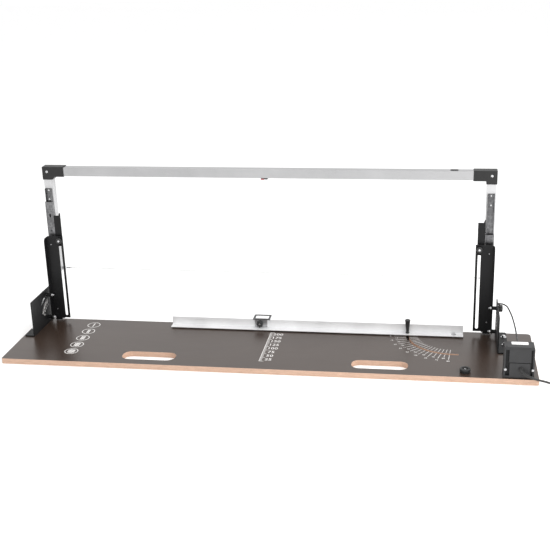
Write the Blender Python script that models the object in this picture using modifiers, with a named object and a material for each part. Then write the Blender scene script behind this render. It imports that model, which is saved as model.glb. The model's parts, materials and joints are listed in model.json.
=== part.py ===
# Table-top hot wire cutter for foam boards: a plywood base, two tilting steel towers with
# telescopic slides, a bow that carries the wire, a swinging fence and a low-voltage supply.
# Positions are measured from the board's left front bottom corner and hang on the
# frame_origin empty, which puts the world origin under the middle of the machine.
import math

import bmesh
import bpy
from mathutils import Vector

# ---- driving dimensions, in metres ----
GAP = 0.0003              # between pieces that touch
RUNNING = 0.0003          # radial clearance of a bolt in its hole

BOARD_LENGTH = 1.440
BOARD_DEPTH = 0.305
BOARD_THICKNESS = 0.015
BOARD_CORNERS = (0.005, 0.005, 0.010, 0.010)  # front left, front right, back right, back left
HAND_SLOT_LENGTH = 0.149
HAND_SLOT_WIDTH = 0.052
HAND_SLOT_FRONT = 0.030   # board front edge to slot
HAND_SLOT_SPACING = 0.629  # centre to centre, about the board's middle

SHEET = 0.002             # folded steel of the towers
TOWER_WIDTH = 0.052
TOWER_HEIGHT = 0.2535
TOWER_LIFT = 0.0115       # tower bottom above the board
TOWER_SETBACK = 0.019     # front plate to the board's back edge
TOWER_LEFT_INSET = 0.0451
TOWER_RIGHT_INSET = 0.108
FLANGE_DEPTH = 0.0155
FLANGE_EAR = 0.004        # flange reach below the front plate
TOWER_CORNER = 0.008
STOP_SLOT_WIDTH = 0.008
STOP_SLOT_INSET = 0.0104  # slot centre from the tower's inner edge
STOP_SLOT_MARGIN_TOP = 0.008
STOP_SLOT_MARGIN_BOTTOM = 0.007

BRACKET_SHEET = 0.003
BRACKET_DEPTH = 0.145
BRACKET_HEIGHT = 0.1045
BRACKET_FOOT = 0.030
BRACKET_BOLT_INSET = 0.008  # bolt centre to the foot's edge
BRACKET_BOLT_SETBACKS = (0.055, 0.110)  # bolt centres behind the foot's front end
BRACKET_REAR_INSET = 0.002
BRACKET_GAP = 0.0105      # bracket plate to tower flange
PIVOT_HEIGHT = 0.0155     # tilt axis above the board
LOCK_RADIUS = 0.0695      # tilt axis to lock bolt
TILT_RANGE = 60.0         # degrees
TILT_BOLT_RADIUS = 0.003

SLIDE_LENGTH = 0.250
SLIDE_WIDTH = 0.027
SLIDE_DEPTH = 0.0125
SLIDE_SHEET = 0.0012
SLIDE_MIDDLE_WIDTH = 0.023
SLIDE_INNER_WIDTH = 0.0186
SLIDE_FLOOR_GAP = 0.003   # slide bottom above the board
SLIDE_INSET = 0.0149      # slide centre from the tower's outer edge
PACKER_THICKNESS = 0.0116
PACKER_WIDTH = 0.020
BOW_LIFT = 0.1495         # bow above its lowest position at rest
MIDDLE_LIFT = {"left": 0.111, "right": 0.036}

TUBE = 0.025
TUBE_WALL = 0.002
POST_BOTTOM_GAP = 0.0125  # post above the floor with the bow at its lowest
POST_LENGTH = 0.3145
CORNER_WALL = 0.0016
CORNER_FIT = 0.0004       # tube to connector socket
CORNER_ARM = 0.0345       # sleeve along the top bar, past the post
CORNER_SKIRT = 0.0085     # sleeve below the top bar
CORNER_GUSSET = {"left": 0.007, "right": 0.0}

WIRE_RADIUS = 0.0005
WIRE_HEIGHT = 0.009       # above the post's lower end
HOLDER_LENGTH = {"left": 0.0295, "right": 0.014}

STOP_BAR_WIDTH = 0.0202
STOP_BAR_INSET = 0.0045   # from the tower's inner edge
STOP_BAR_HEIGHT = 0.0926
STOP_BAR_THICKNESS = 0.0025
STOP_BAR_SETBACK = 0.008  # behind the front plate
STOP_EAR = (0.005, 0.0075)
STOP_STUD_RADIUS = 0.003
STOP_KNOB_RADIUS = 0.009
STOP_KNOB_THICKNESS = 0.0095

FENCE_LEG = 0.025
FENCE_WALL = 0.002
FENCE_INSET = 0.186       # fence's right end to the board's right end
FENCE_LENGTH = 0.840
FENCE_TAIL = 0.026        # fence past its pivot
FENCE_LIFT = 0.0029
FENCE_SETBACK = 0.0218    # fence back face to the board's back edge
ARC_RADIUS = 0.1286
ARC_SLOT_WIDTH = 0.008
ARC_RECESS_WIDTH = 0.019
ARC_RECESS_DEPTH = 0.007
PIN_RADIUS = 0.004
CLAMP_RADIUS = 0.003
CLAMP_HANDLE_TOP = 0.0470  # above the board

STOP_ALONG = 0.241        # fence's left end to the length stop
STOP_WIDTH = 0.050
STOP_ARM = 0.006
STOP_REACH = 0.030        # behind the fence
STOP_PLATE_WIDTH = 0.036
STOP_SHEET = 0.002
STOP_STAR_RADIUS = 0.010

BUMPER_RADIUS = 0.0142
BUMPER_HEIGHT = 0.0115
BUMPER_Y = 0.0326

SWITCH_OFFSET = -0.0265   # from the middle of the bow
GROMMET_INSET = 0.223

CASE_X = 0.090            # left side to the board's right end
CASE_WIDTH = 0.077
CASE_DEPTH = 0.041
CASE_HEIGHT = 0.0847
CASE_WALL = 0.0025
CASE_FRONT = 0.006

MAINS_RADIUS = 0.0027
LEAD_RADIUS = 0.0020
COIL_RADIUS = 0.036
COIL_TURNS_ACROSS = 4
COIL_LAYERS = 2
COIL_CENTRE = (1.600, 0.062)

# ---- sizes that follow ----
TOP = BOARD_THICKNESS
TOWER_FRONT = BOARD_DEPTH - TOWER_SETBACK
TOWER_BOTTOM = TOP + TOWER_LIFT
TOWER_TOP = TOWER_BOTTOM + TOWER_HEIGHT
PIVOT_Y = TOWER_FRONT - FLANGE_DEPTH / 2
PIVOT_Z = TOP + PIVOT_HEIGHT
PACKER_Y = TOWER_FRONT + SHEET + GAP
HAND_SLOT_CENTRES = [BOARD_LENGTH / 2 - 0.0005 + side * HAND_SLOT_SPACING / 2 for side in (-1, 1)]
SLIDE_Y = PACKER_Y + PACKER_THICKNESS + GAP
SLIDE_Z = TOP + SLIDE_FLOOR_GAP
POST_Y = SLIDE_Y + SLIDE_DEPTH + GAP
POST_Z = POST_BOTTOM_GAP + BOW_LIFT
BAR_BOTTOM = POST_Z + POST_LENGTH - TUBE + CORNER_WALL + CORNER_FIT
BAR_TOP = BAR_BOTTOM + TUBE
WIRE_Y = POST_Y + TUBE / 2
WIRE_Z = POST_Z + WIRE_HEIGHT
FENCE_BACK = BOARD_DEPTH - FENCE_SETBACK
FENCE_BOTTOM = TOP + FENCE_LIFT
FENCE_TOP = FENCE_BOTTOM + FENCE_LEG
FENCE_START = BOARD_LENGTH - FENCE_INSET - FENCE_LENGTH
STOP_X = FENCE_START + STOP_ALONG
FENCE_PIVOT = (FENCE_START + FENCE_LENGTH - FENCE_TAIL, FENCE_BACK - FENCE_LEG / 2)
CLAMP_X = FENCE_PIVOT[0] - ARC_RADIUS
BUMPER_X = FENCE_PIVOT[0] + FENCE_LEG / 2 + 2 * GAP + BUMPER_RADIUS
CASE_LEFT = BOARD_LENGTH - CASE_X
CASE_RIGHT = CASE_LEFT + CASE_WIDTH
MACHINE_DEPTH = POST_Y + TUBE + CORNER_FIT + CORNER_WALL
SIDES = {
    "left": (TOWER_LEFT_INSET, 1.0),
    "right": (BOARD_LENGTH - TOWER_RIGHT_INSET, -1.0),
}

for stale in list(bpy.data.objects):
    bpy.data.objects.remove(stale, do_unlink=True)

machine = bpy.data.collections.new("hot_wire_cutter")
cutters = bpy.data.collections.new("cutters")
bpy.context.scene.collection.children.link(machine)
bpy.context.scene.collection.children.link(cutters)


def material(name, colour, roughness, metallic=0.0):
    made = bpy.data.materials.new(name)
    made.use_nodes = True
    shader = made.node_tree.nodes["Principled BSDF"]
    shader.inputs["Base Color"].default_value = (*colour, 1.0)
    shader.inputs["Roughness"].default_value = roughness
    shader.inputs["Metallic"].default_value = metallic
    return made


FILM = material("film_faced_plywood", (0.05, 0.045, 0.04), 0.3)
BLACK_STEEL = material("black_powder_coat", (0.02, 0.02, 0.02), 0.5)
ALUMINIUM = material("aluminium", (0.75, 0.75, 0.76), 0.35, 1.0)
ZINC = material("zinc_steel", (0.62, 0.62, 0.63), 0.35, 1.0)
BLACK_PLASTIC = material("black_plastic", (0.03, 0.03, 0.03), 0.45)
RED_PLASTIC = material("red_plastic", (0.6, 0.03, 0.03), 0.35)
RUBBER = material("rubber", (0.02, 0.02, 0.02), 0.8)
WIRE_STEEL = material("resistance_wire", (0.35, 0.34, 0.33), 0.4, 1.0)
CORE = material("transformer_steel", (0.3, 0.3, 0.32), 0.6, 1.0)


# ---- shape helpers ----
def arc(cx, cy, radius, start, end, steps):
    turn = [math.radians(start + (end - start) * i / steps) for i in range(steps + 1)]
    return [(cx + radius * math.cos(a), cy + radius * math.sin(a)) for a in turn]


def circle(cx, cy, radius, steps=20):
    return arc(cx, cy, radius, 0, 360, steps)[:-1]


def box_loop(x0, y0, x1, y1):
    return [(x0, y0), (x1, y0), (x1, y1), (x0, y1)]


def rounded(x0, y0, x1, y1, radii, steps=4):
    """A rectangle whose corners, from low low anticlockwise, have their own radii."""
    x0, x1 = min(x0, x1), max(x0, x1)
    low_low, high_low, high_high, low_high = radii
    loop = []
    for cx, cy, sx, sy, radius, start in (
        (x0, y0, 1, 1, low_low, 180),
        (x1, y0, -1, 1, high_low, 270),
        (x1, y1, -1, -1, high_high, 0),
        (x0, y1, 1, -1, low_high, 90),
    ):
        if radius:
            loop += arc(cx + sx * radius, cy + sy * radius, radius, start, start + 90, steps)
        else:
            loop.append((cx, cy))
    return loop


def slot_across(x0, x1, y, radius, steps=8):
    return arc(x1 - radius, y, radius, -90, 90, steps) + arc(x0 + radius, y, radius, 90, 270, steps)


def slot_up(x, y0, y1, radius, steps=8):
    return arc(x, y1 - radius, radius, 0, 180, steps) + arc(x, y0 + radius, radius, 180, 360, steps)


def slot_on_arc(cx, cy, middle, half_width, start, end, steps=24):
    outside = arc(cx, cy, middle + half_width, start, end, steps)
    inside = arc(cx, cy, middle - half_width, end, start, steps)
    ends = []
    for angle, first in ((end, end), (start, start + 180)):
        x = cx + middle * math.cos(math.radians(angle))
        y = cy + middle * math.sin(math.radians(angle))
        ends.append(arc(x, y, half_width, first, first + 180, 8)[1:-1])
    return outside + ends[0] + inside + ends[1]


def star(cx, cy, radius, notch, lobes=8, steps=48):
    loop = []
    for i in range(steps):
        angle = 2 * math.pi * i / steps
        reach = radius - notch * (0.5 - 0.5 * math.cos(lobes * angle))
        loop.append((cx + reach * math.cos(angle), cy + reach * math.sin(angle)))
    return loop


TURNS = {"Z": (0, 0, 0), "Y": (math.pi / 2, 0, 0), "X": (math.pi / 2, 0, math.pi / 2)}
PLACES = {"Z": (0, 0, 1), "Y": (0, 1, 0), "X": (1, 0, 0)}


def add(name, data, paint, collection=machine):
    made = bpy.data.objects.new(name, data)
    if paint:
        data.materials.append(paint)
    collection.objects.link(made)
    if collection is cutters:
        made.hide_render = True
        made.display_type = "WIRE"
    return made


def plate(name, loops, axis, low, high, paint, collection=machine):
    """Flat outline with holes, given across the axis and filled from low to high along it."""
    curve = bpy.data.curves.new(name, "CURVE")
    curve.dimensions = "2D"
    curve.fill_mode = "BOTH"
    curve.extrude = (high - low) / 2
    for loop in loops:
        spline = curve.splines.new("POLY")
        spline.points.add(len(loop) - 1)
        for point, (u, v) in zip(spline.points, loop):
            point.co = (u, v, 0, 1)
        spline.use_cyclic_u = True
    flat = bpy.data.objects.new(name + "_outline", curve)
    bpy.context.scene.collection.objects.link(flat)
    bpy.context.view_layer.update()
    graph = bpy.context.evaluated_depsgraph_get()
    mesh = bpy.data.meshes.new_from_object(flat.evaluated_get(graph))
    bpy.data.objects.remove(flat, do_unlink=True)
    work = bmesh.new()
    work.from_mesh(mesh)
    bmesh.ops.remove_doubles(work, verts=work.verts, dist=0.00001)
    bmesh.ops.recalc_face_normals(work, faces=work.faces)
    work.to_mesh(mesh)
    work.free()
    mesh.name = name
    mesh.materials.clear()
    made = add(name, mesh, paint, collection)
    made.rotation_euler = TURNS[axis]
    made.location = Vector(PLACES[axis]) * (low + high) / 2
    return made


def block(name, low, high, paint, collection=machine):
    mesh = bpy.data.meshes.new(name)
    work = bmesh.new()
    bmesh.ops.create_cube(work, size=1.0)
    size = Vector(high) - Vector(low)
    bmesh.ops.scale(work, vec=size, verts=work.verts)
    work.to_mesh(mesh)
    work.free()
    made = add(name, mesh, paint, collection)
    made.location = (Vector(high) + Vector(low)) / 2
    return made


AIMS = {
    "+Z": (0, 0, 0),
    "-Y": (math.pi / 2, 0, 0),
    "+Y": (-math.pi / 2, 0, 0),
    "+X": (0, math.pi / 2, 0),
    "-X": (0, -math.pi / 2, 0),
}


def turned(name, profile, place, aim, paint, collection=machine, steps=20):
    """A profile of (radius, height) points, top to bottom, spun about the aim direction."""
    mesh = bpy.data.meshes.new(name)
    work = bmesh.new()
    closed = profile[0] == profile[-1]
    points = [work.verts.new((r, 0, h)) for r, h in (profile[:-1] if closed else profile)]
    for first, second in zip(points, points[1:] + points[:1] * closed):
        work.edges.new((first, second))
    work.to_mesh(mesh)
    work.free()
    made = add(name, mesh, paint, collection)
    spin = made.modifiers.new("spin", "SCREW")
    spin.angle = 2 * math.pi
    spin.steps = steps
    spin.render_steps = steps
    spin.use_merge_vertices = True
    spin.merge_threshold = 0.00001
    made.location = place
    made.rotation_euler = AIMS[aim]
    return made


def rod(radius, length, start=0.0):
    return [(0, start + length), (radius, start + length), (radius, start), (0, start)]


def tube_along(name, points, radius, paint, resolution=2, taper=None):
    curve = bpy.data.curves.new(name, "CURVE")
    curve.dimensions = "3D"
    curve.bevel_depth = radius
    curve.bevel_resolution = resolution
    curve.use_fill_caps = True
    spline = curve.splines.new("POLY")
    spline.points.add(len(points) - 1)
    for i, (point, place) in enumerate(zip(spline.points, points)):
        point.co = (*place, 1)
        if taper:
            point.radius = 1 + (taper - 1) * i / (len(points) - 1)
    return add(name, curve, paint)


def smooth_route(points, step):
    """Evenly spaced points on a Catmull-Rom curve through the given points."""
    knots = [Vector(p) for p in points]
    knots = [2 * knots[0] - knots[1]] + knots + [2 * knots[-1] - knots[-2]]
    route = []
    for a, b, c, d in zip(knots, knots[1:], knots[2:], knots[3:]):
        count = max(1, round((c - b).length / step))
        for i in range(count):
            t = i / count
            route.append(
                0.5 * (2 * b + (c - a) * t + (2 * a - 5 * b + 4 * c - d) * t**2
                       + (3 * b - a - 3 * c + d) * t**3)
            )
    return route + [knots[-2]]


def cut(piece, *tools):
    for tool in tools:
        change = piece.modifiers.new("cut_" + tool.name, "BOOLEAN")
        change.operation = "DIFFERENCE"
        change.object = tool
    return piece


def join(piece, *tools):
    for tool in tools:
        change = piece.modifiers.new("join_" + tool.name, "BOOLEAN")
        change.operation = "UNION"
        change.object = tool
    return piece


def shade_round(piece):
    piece.data.shade_smooth()
    piece.data.set_sharp_from_angle(angle=math.radians(35))


# ---- joint empties: each one sits on its joint's axis ----
origin = bpy.data.objects.new("frame_origin", None)
origin.location = (-BOARD_LENGTH / 2, -MACHINE_DEPTH / 2, 0)
machine.objects.link(origin)


def joint(name, place, parent=None):
    made = bpy.data.objects.new(name, None)
    made.empty_display_size = 0.02
    made["place"] = place
    parent = parent or origin
    made.parent = parent
    made.location = Vector(place) - Vector(parent.get("place", (0, 0, 0)))
    machine.objects.link(made)
    return made


def hang(parent, *pieces):
    for piece in pieces:
        piece.parent = parent
        piece.location = piece.location - Vector(parent.get("place", (0, 0, 0)))


# ---- base board ----
def make_board():
    loops = [rounded(0, 0, BOARD_LENGTH, BOARD_DEPTH, list(BOARD_CORNERS))]
    for centre in HAND_SLOT_CENTRES:
        ends = (centre - HAND_SLOT_LENGTH / 2, centre + HAND_SLOT_LENGTH / 2)
        loops.append(rounded(ends[0], HAND_SLOT_FRONT, ends[1], HAND_SLOT_FRONT + HAND_SLOT_WIDTH,
                             [HAND_SLOT_WIDTH * 0.42] * 4, 6))
    loops.append(slot_on_arc(*FENCE_PIVOT, ARC_RADIUS, ARC_SLOT_WIDTH / 2, 178, 274))
    loops.append(circle(*FENCE_PIVOT, PIN_RADIUS + RUNNING))
    board = plate("base_board", loops, "Z", 0, TOP, FILM)
    recess = plate(
        "arc_recess",
        [slot_on_arc(*FENCE_PIVOT, ARC_RADIUS, ARC_RECESS_WIDTH / 2, 178, 274)],
        "Z", -0.002, ARC_RECESS_DEPTH, None, cutters,
    )
    pocket = plate(
        "pin_pocket", [circle(*FENCE_PIVOT, ARC_RECESS_WIDTH / 2)],
        "Z", -0.002, ARC_RECESS_DEPTH, None, cutters,
    )
    hang(origin, cut(board, recess, pocket), recess, pocket)


# ---- brackets, towers, slides and posts, once for each side ----
def make_bracket(side):
    outer, inward = SIDES[side]
    inner_face = outer - inward * BRACKET_GAP
    outer_face = inner_face - inward * BRACKET_SHEET
    foot_edge = inner_face - inward * BRACKET_FOOT
    rear = BOARD_DEPTH - BRACKET_REAR_INSET
    front = rear - BRACKET_DEPTH
    foot_low = TOP + GAP
    slot_end = 90 + TILT_RANGE + 3
    upright = plate(
        side + "_bracket",
        [
            rounded(front, foot_low, rear, TOP + BRACKET_HEIGHT, [0, 0, 0.004, 0.004]),
            slot_on_arc(PIVOT_Y, PIVOT_Z, LOCK_RADIUS, TILT_BOLT_RADIUS + 0.0004, 87, slot_end),
            circle(PIVOT_Y, PIVOT_Z, TILT_BOLT_RADIUS + RUNNING, 16),
        ],
        "X", min(inner_face, outer_face), max(inner_face, outer_face), BLACK_STEEL,
    )
    bolts = [(foot_edge + inward * BRACKET_BOLT_INSET, front + y) for y in BRACKET_BOLT_SETBACKS]
    holes = [circle(*at, 0.0033, 12) for at in bolts]
    foot = plate(
        side + "_foot_shape",
        [rounded(foot_edge, front, inner_face - inward * 0.0005, rear, [0.003] * 4, 2)] + holes,
        "Z", foot_low, foot_low + BRACKET_SHEET, None, cutters,
    )
    hang(origin, join(upright, foot), foot)
    for place, (x, y) in zip(("front", "rear"), bolts):
        base = foot_low + BRACKET_SHEET + GAP
        bolt = turned(
            f"{side}_foot_bolt_{place}",
            [(0, 0.0065), (0.0035, 0.0065), (0.0055, 0.005), (0.0055, 0.0015), (0.0075, 0.0015),
             (0.0075, 0), (0.003, 0), (0.003, -BRACKET_SHEET - GAP * 1.5), (0, -BRACKET_SHEET - GAP * 1.5)],
            (x, y, base), "+Z", ZINC, steps=12,
        )
        hang(origin, bolt)
    return inner_face, outer_face


def make_tilt_hardware(side, inner_face, outer_face, tilt):
    outer, inward = SIDES[side]
    aim = "-X" if inward > 0 else "+X"
    spacing = BRACKET_GAP - 2 * GAP
    nut_face = outer + inward * (SHEET + GAP)
    reach = abs(nut_face - outer_face)
    head = 0.0045
    # The profile's zero is at the bracket's outer face, and it points away from the machine.
    bolt = turned(
        side + "_pivot_bolt",
        [(0, head), (0.0048, head), (0.0048, GAP), (TILT_BOLT_RADIUS, GAP),
         (TILT_BOLT_RADIUS, -reach), (0.005, -reach), (0.005, -reach - 0.005),
         (TILT_BOLT_RADIUS, -reach - 0.005), (TILT_BOLT_RADIUS, -reach - 0.009), (0, -reach - 0.009)],
        (outer_face, PIVOT_Y, PIVOT_Z), aim, ZINC, steps=16,
    )
    hang(origin, bolt)
    collar = [(TILT_BOLT_RADIUS + RUNNING, spacing), (0.0055, spacing), (0.0055, 0),
              (TILT_BOLT_RADIUS + RUNNING, 0), (TILT_BOLT_RADIUS + RUNNING, spacing)]
    for name, z, parent in (("pivot", PIVOT_Z, tilt), ("lock", PIVOT_Z + LOCK_RADIUS, tilt)):
        spacer = turned(
            f"{side}_{name}_spacer", collar,
            (outer - inward * GAP, PIVOT_Y, z), aim, BLACK_STEEL, steps=16,
        )
        hang(parent, spacer)
    lock_z = PIVOT_Z + LOCK_RADIUS
    nut = turned(
        side + "_lock_nut",
        [(TILT_BOLT_RADIUS + RUNNING, 0), (0.005, 0), (0.005, -0.005),
         (TILT_BOLT_RADIUS + RUNNING, -0.005), (TILT_BOLT_RADIUS + RUNNING, 0)],
        (nut_face, PIVOT_Y, lock_z), aim, ZINC, steps=16,
    )
    hang(tilt, nut)
    spin = joint(side + "_tilt_knob_axis", (outer_face, PIVOT_Y, lock_z), tilt)
    lift = GAP + 0.0015
    thick = 0.012
    span = sorted((outer_face - inward * lift, outer_face - inward * (lift + thick)))
    knob = plate(
        side + "_tilt_knob", [star(PIVOT_Y, lock_z, 0.0105, 0.002)],
        "X", *span, BLACK_PLASTIC,
    )
    screw = turned(
        side + "_tilt_screw",
        [(0, lift + 0.004), (0.0055, lift + 0.004), (0.0055, GAP), (TILT_BOLT_RADIUS, GAP),
         (TILT_BOLT_RADIUS, -reach - 0.0095), (0, -reach - 0.0095)],
        (outer_face, PIVOT_Y, lock_z), aim, None, cutters, steps=16,
    )
    hang(spin, join(knob, screw), screw)


def make_tower(side, tilt):
    outer, inward = SIDES[side]
    inner = outer + inward * TOWER_WIDTH
    slot_x = inner - inward * STOP_SLOT_INSET
    top_radii = [0, 0, 0, TOWER_CORNER] if inward > 0 else [0, 0, TOWER_CORNER, 0]
    front = plate(
        side + "_tower",
        [
            rounded(outer, TOWER_BOTTOM, inner, TOWER_TOP, top_radii),
            slot_up(slot_x, TOWER_BOTTOM + STOP_SLOT_MARGIN_BOTTOM,
                    TOWER_TOP - STOP_SLOT_MARGIN_TOP, STOP_SLOT_WIDTH / 2),
        ],
        "Y", TOWER_FRONT, TOWER_FRONT + SHEET, BLACK_STEEL,
    )
    low = TOWER_BOTTOM - FLANGE_EAR
    flange = plate(
        side + "_flange_shape",
        [
            rounded(TOWER_FRONT - FLANGE_DEPTH, low, TOWER_FRONT + SHEET * 0.75, TOWER_TOP - TOWER_CORNER / 2,
                    [0.005, 0.003, 0, 0.01]),
            circle(PIVOT_Y, PIVOT_Z, TILT_BOLT_RADIUS + RUNNING, 16),
            circle(PIVOT_Y, PIVOT_Z + LOCK_RADIUS, TILT_BOLT_RADIUS + RUNNING, 16),
        ],
        "X", min(outer, outer + inward * SHEET), max(outer, outer + inward * SHEET), None, cutters,
    )
    hang(tilt, join(front, flange), flange)


def channel(centre, width, back, mouth, sheet, opens_back=True):
    """C section of a slide member: web at back, lips reaching to mouth."""
    half = width / 2
    step = sheet if opens_back else -sheet
    return [
        (centre - half, back), (centre + half, back), (centre + half, mouth),
        (centre + half - sheet, mouth), (centre + half - sheet, back + step),
        (centre - half + sheet, back + step), (centre - half + sheet, mouth),
        (centre - half, mouth),
    ]


def make_slide(side, tilt, middle_axis, bow):
    outer, inward = SIDES[side]
    centre = outer + inward * SLIDE_INSET
    packer = block(
        side + "_slide_packer",
        (centre - PACKER_WIDTH / 2, PACKER_Y, SLIDE_Z),
        (centre + PACKER_WIDTH / 2, PACKER_Y + PACKER_THICKNESS, SLIDE_Z + SLIDE_LENGTH - 0.004),
        BLACK_STEEL,
    )
    back = SLIDE_Y + SLIDE_DEPTH
    lip = back - 0.0009
    outer_part = plate(
        side + "_slide_outer",
        [channel(centre, SLIDE_WIDTH, SLIDE_Y, lip, SLIDE_SHEET)],
        "Z", SLIDE_Z, SLIDE_Z + SLIDE_LENGTH, ZINC,
    )
    low = SLIDE_Z + MIDDLE_LIFT[side]
    middle = plate(
        side + "_slide_middle",
        [channel(centre, SLIDE_MIDDLE_WIDTH, SLIDE_Y + SLIDE_SHEET + 0.0006, lip, SLIDE_SHEET)],
        "Z", low, low + SLIDE_LENGTH, ZINC,
    )
    low = SLIDE_Z + BOW_LIFT
    web = SLIDE_Y + SLIDE_DEPTH
    inner = plate(
        side + "_slide_inner",
        [channel(centre, SLIDE_INNER_WIDTH, web, web - 0.0082, SLIDE_SHEET, False)],
        "Z", low, low + SLIDE_LENGTH, ZINC,
    )
    hang(tilt, packer, outer_part)
    hang(middle_axis, middle)
    hang(bow, inner)


def make_post(side, bow):
    outer, inward = SIDES[side]
    centre = outer + inward * SLIDE_INSET
    half = TUBE / 2
    hollow = half - TUBE_WALL
    top = POST_Z + POST_LENGTH
    post = plate(
        side + "_post",
        [
            box_loop(centre - half, POST_Y, centre + half, POST_Y + TUBE),
            box_loop(centre - hollow, POST_Y + TUBE_WALL, centre + hollow, POST_Y + TUBE - TUBE_WALL),
        ],
        "Z", POST_Z, top, ALUMINIUM,
    )
    hang(bow, post)
    make_corner(side, centre, inward, top, bow)
    make_holder(side, centre + inward * half, inward, bow)


def make_corner(side, centre, inward, post_top, bow):
    """Moulded connector: a short sleeve over the post and a longer one over the top bar."""
    fit = TUBE / 2 + CORNER_FIT
    shell = fit + CORNER_WALL
    far = centre - inward * shell
    skirt_end = centre + inward * shell
    arm_end = skirt_end + inward * CORNER_ARM
    low = BAR_BOTTOM - CORNER_FIT - CORNER_WALL
    high = BAR_TOP + CORNER_FIT + CORNER_WALL
    outline = [
        (far, low - CORNER_SKIRT), (skirt_end, low - CORNER_SKIRT),
        (skirt_end + inward * CORNER_GUSSET[side], low), (arm_end, low), (arm_end, high), (far, high),
    ]
    if inward < 0:
        outline.reverse()
    front = POST_Y - CORNER_FIT - CORNER_WALL
    back = POST_Y + TUBE + CORNER_FIT + CORNER_WALL
    corner = plate(side + "_corner", [outline], "Y", front, back, BLACK_PLASTIC)
    post_socket = block(
        side + "_post_socket",
        (centre - fit, POST_Y - CORNER_FIT, low - CORNER_SKIRT - 0.002),
        (centre + fit, POST_Y + TUBE + CORNER_FIT, post_top + GAP),
        None, cutters,
    )
    start, end = sorted((skirt_end - inward * CORNER_WALL * 0.1, arm_end + inward * 0.002))
    bar_socket = block(
        side + "_bar_socket",
        (start, POST_Y - CORNER_FIT, BAR_BOTTOM - CORNER_FIT),
        (end, POST_Y + TUBE + CORNER_FIT, BAR_TOP + CORNER_FIT),
        None, cutters,
    )
    hang(bow, cut(corner, post_socket, bar_socket), post_socket, bar_socket)


def make_holder(side, face, inward, bow):
    length = HOLDER_LENGTH[side]
    aim = "+X" if inward > 0 else "-X"
    holder = turned(
        side + "_wire_holder",
        [(0, length), (0.0012, length), (0.0022, length - 0.003), (0.0022, 0.008), (0.0045, 0.008),
         (0.0045, 0.004), (0.006, 0.004), (0.006, GAP), (0, GAP)],
        (face, WIRE_Y, WIRE_Z), aim, ZINC, steps=16,
    )
    hang(bow, holder)


# ---- bow: top bar, wire, switch and cable grommet ----
def bar_end(side):
    outer, inward = SIDES[side]
    return outer + inward * (SLIDE_INSET + TUBE / 2 + CORNER_FIT + CORNER_WALL + GAP)


def make_bow(bow):
    hollow = TUBE_WALL
    bar = plate(
        "top_bar",
        [
            box_loop(POST_Y, BAR_BOTTOM, POST_Y + TUBE, BAR_TOP),
            box_loop(POST_Y + hollow, BAR_BOTTOM + hollow, POST_Y + TUBE - hollow, BAR_TOP - hollow),
        ],
        "X", bar_end("left"), bar_end("right"), ALUMINIUM,
    )
    ends = []
    for side, (outer, inward) in SIDES.items():
        face = outer + inward * (SLIDE_INSET + TUBE / 2)
        ends.append((face + inward * (HOLDER_LENGTH[side] + GAP), WIRE_Y, WIRE_Z))
    wire = tube_along("hot_wire", ends, WIRE_RADIUS, WIRE_STEEL)
    grommet_x = BOARD_LENGTH - GROMMET_INSET
    grommet = plate(
        "bar_grommet",
        [slot_across(grommet_x - 0.011, grommet_x + 0.011, WIRE_Y, 0.0045, 6)],
        "Z", BAR_TOP + GAP, BAR_TOP + GAP + 0.0025, RUBBER,
    )
    hang(bow, bar, wire, grommet)


def make_switch(bow):
    centre_x = BOARD_LENGTH / 2 + SWITCH_OFFSET
    press = joint("switch_button_axis", (centre_x - 0.005, WIRE_Y, BAR_BOTTOM), bow)
    under = BAR_BOTTOM - GAP
    housing = block(
        "switch_housing",
        (centre_x - 0.0105, WIRE_Y - 0.0075, under - 0.0012),
        (centre_x + 0.0105, WIRE_Y + 0.0075, under), BLACK_PLASTIC,
    )
    rear_half = block(
        "switch_rear_half",
        (centre_x + 0.0005, WIRE_Y - 0.006, under - 0.005),
        (centre_x + 0.0097, WIRE_Y + 0.006, under - 0.0006), None, cutters,
    )
    button = block(
        "switch_button",
        (centre_x - 0.0097, WIRE_Y - 0.006, under - 0.0060),
        (centre_x - 0.0001, WIRE_Y + 0.006, under - 0.0032), RED_PLASTIC,
    )
    hang(bow, join(housing, rear_half), rear_half)
    hang(press, button)


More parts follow.
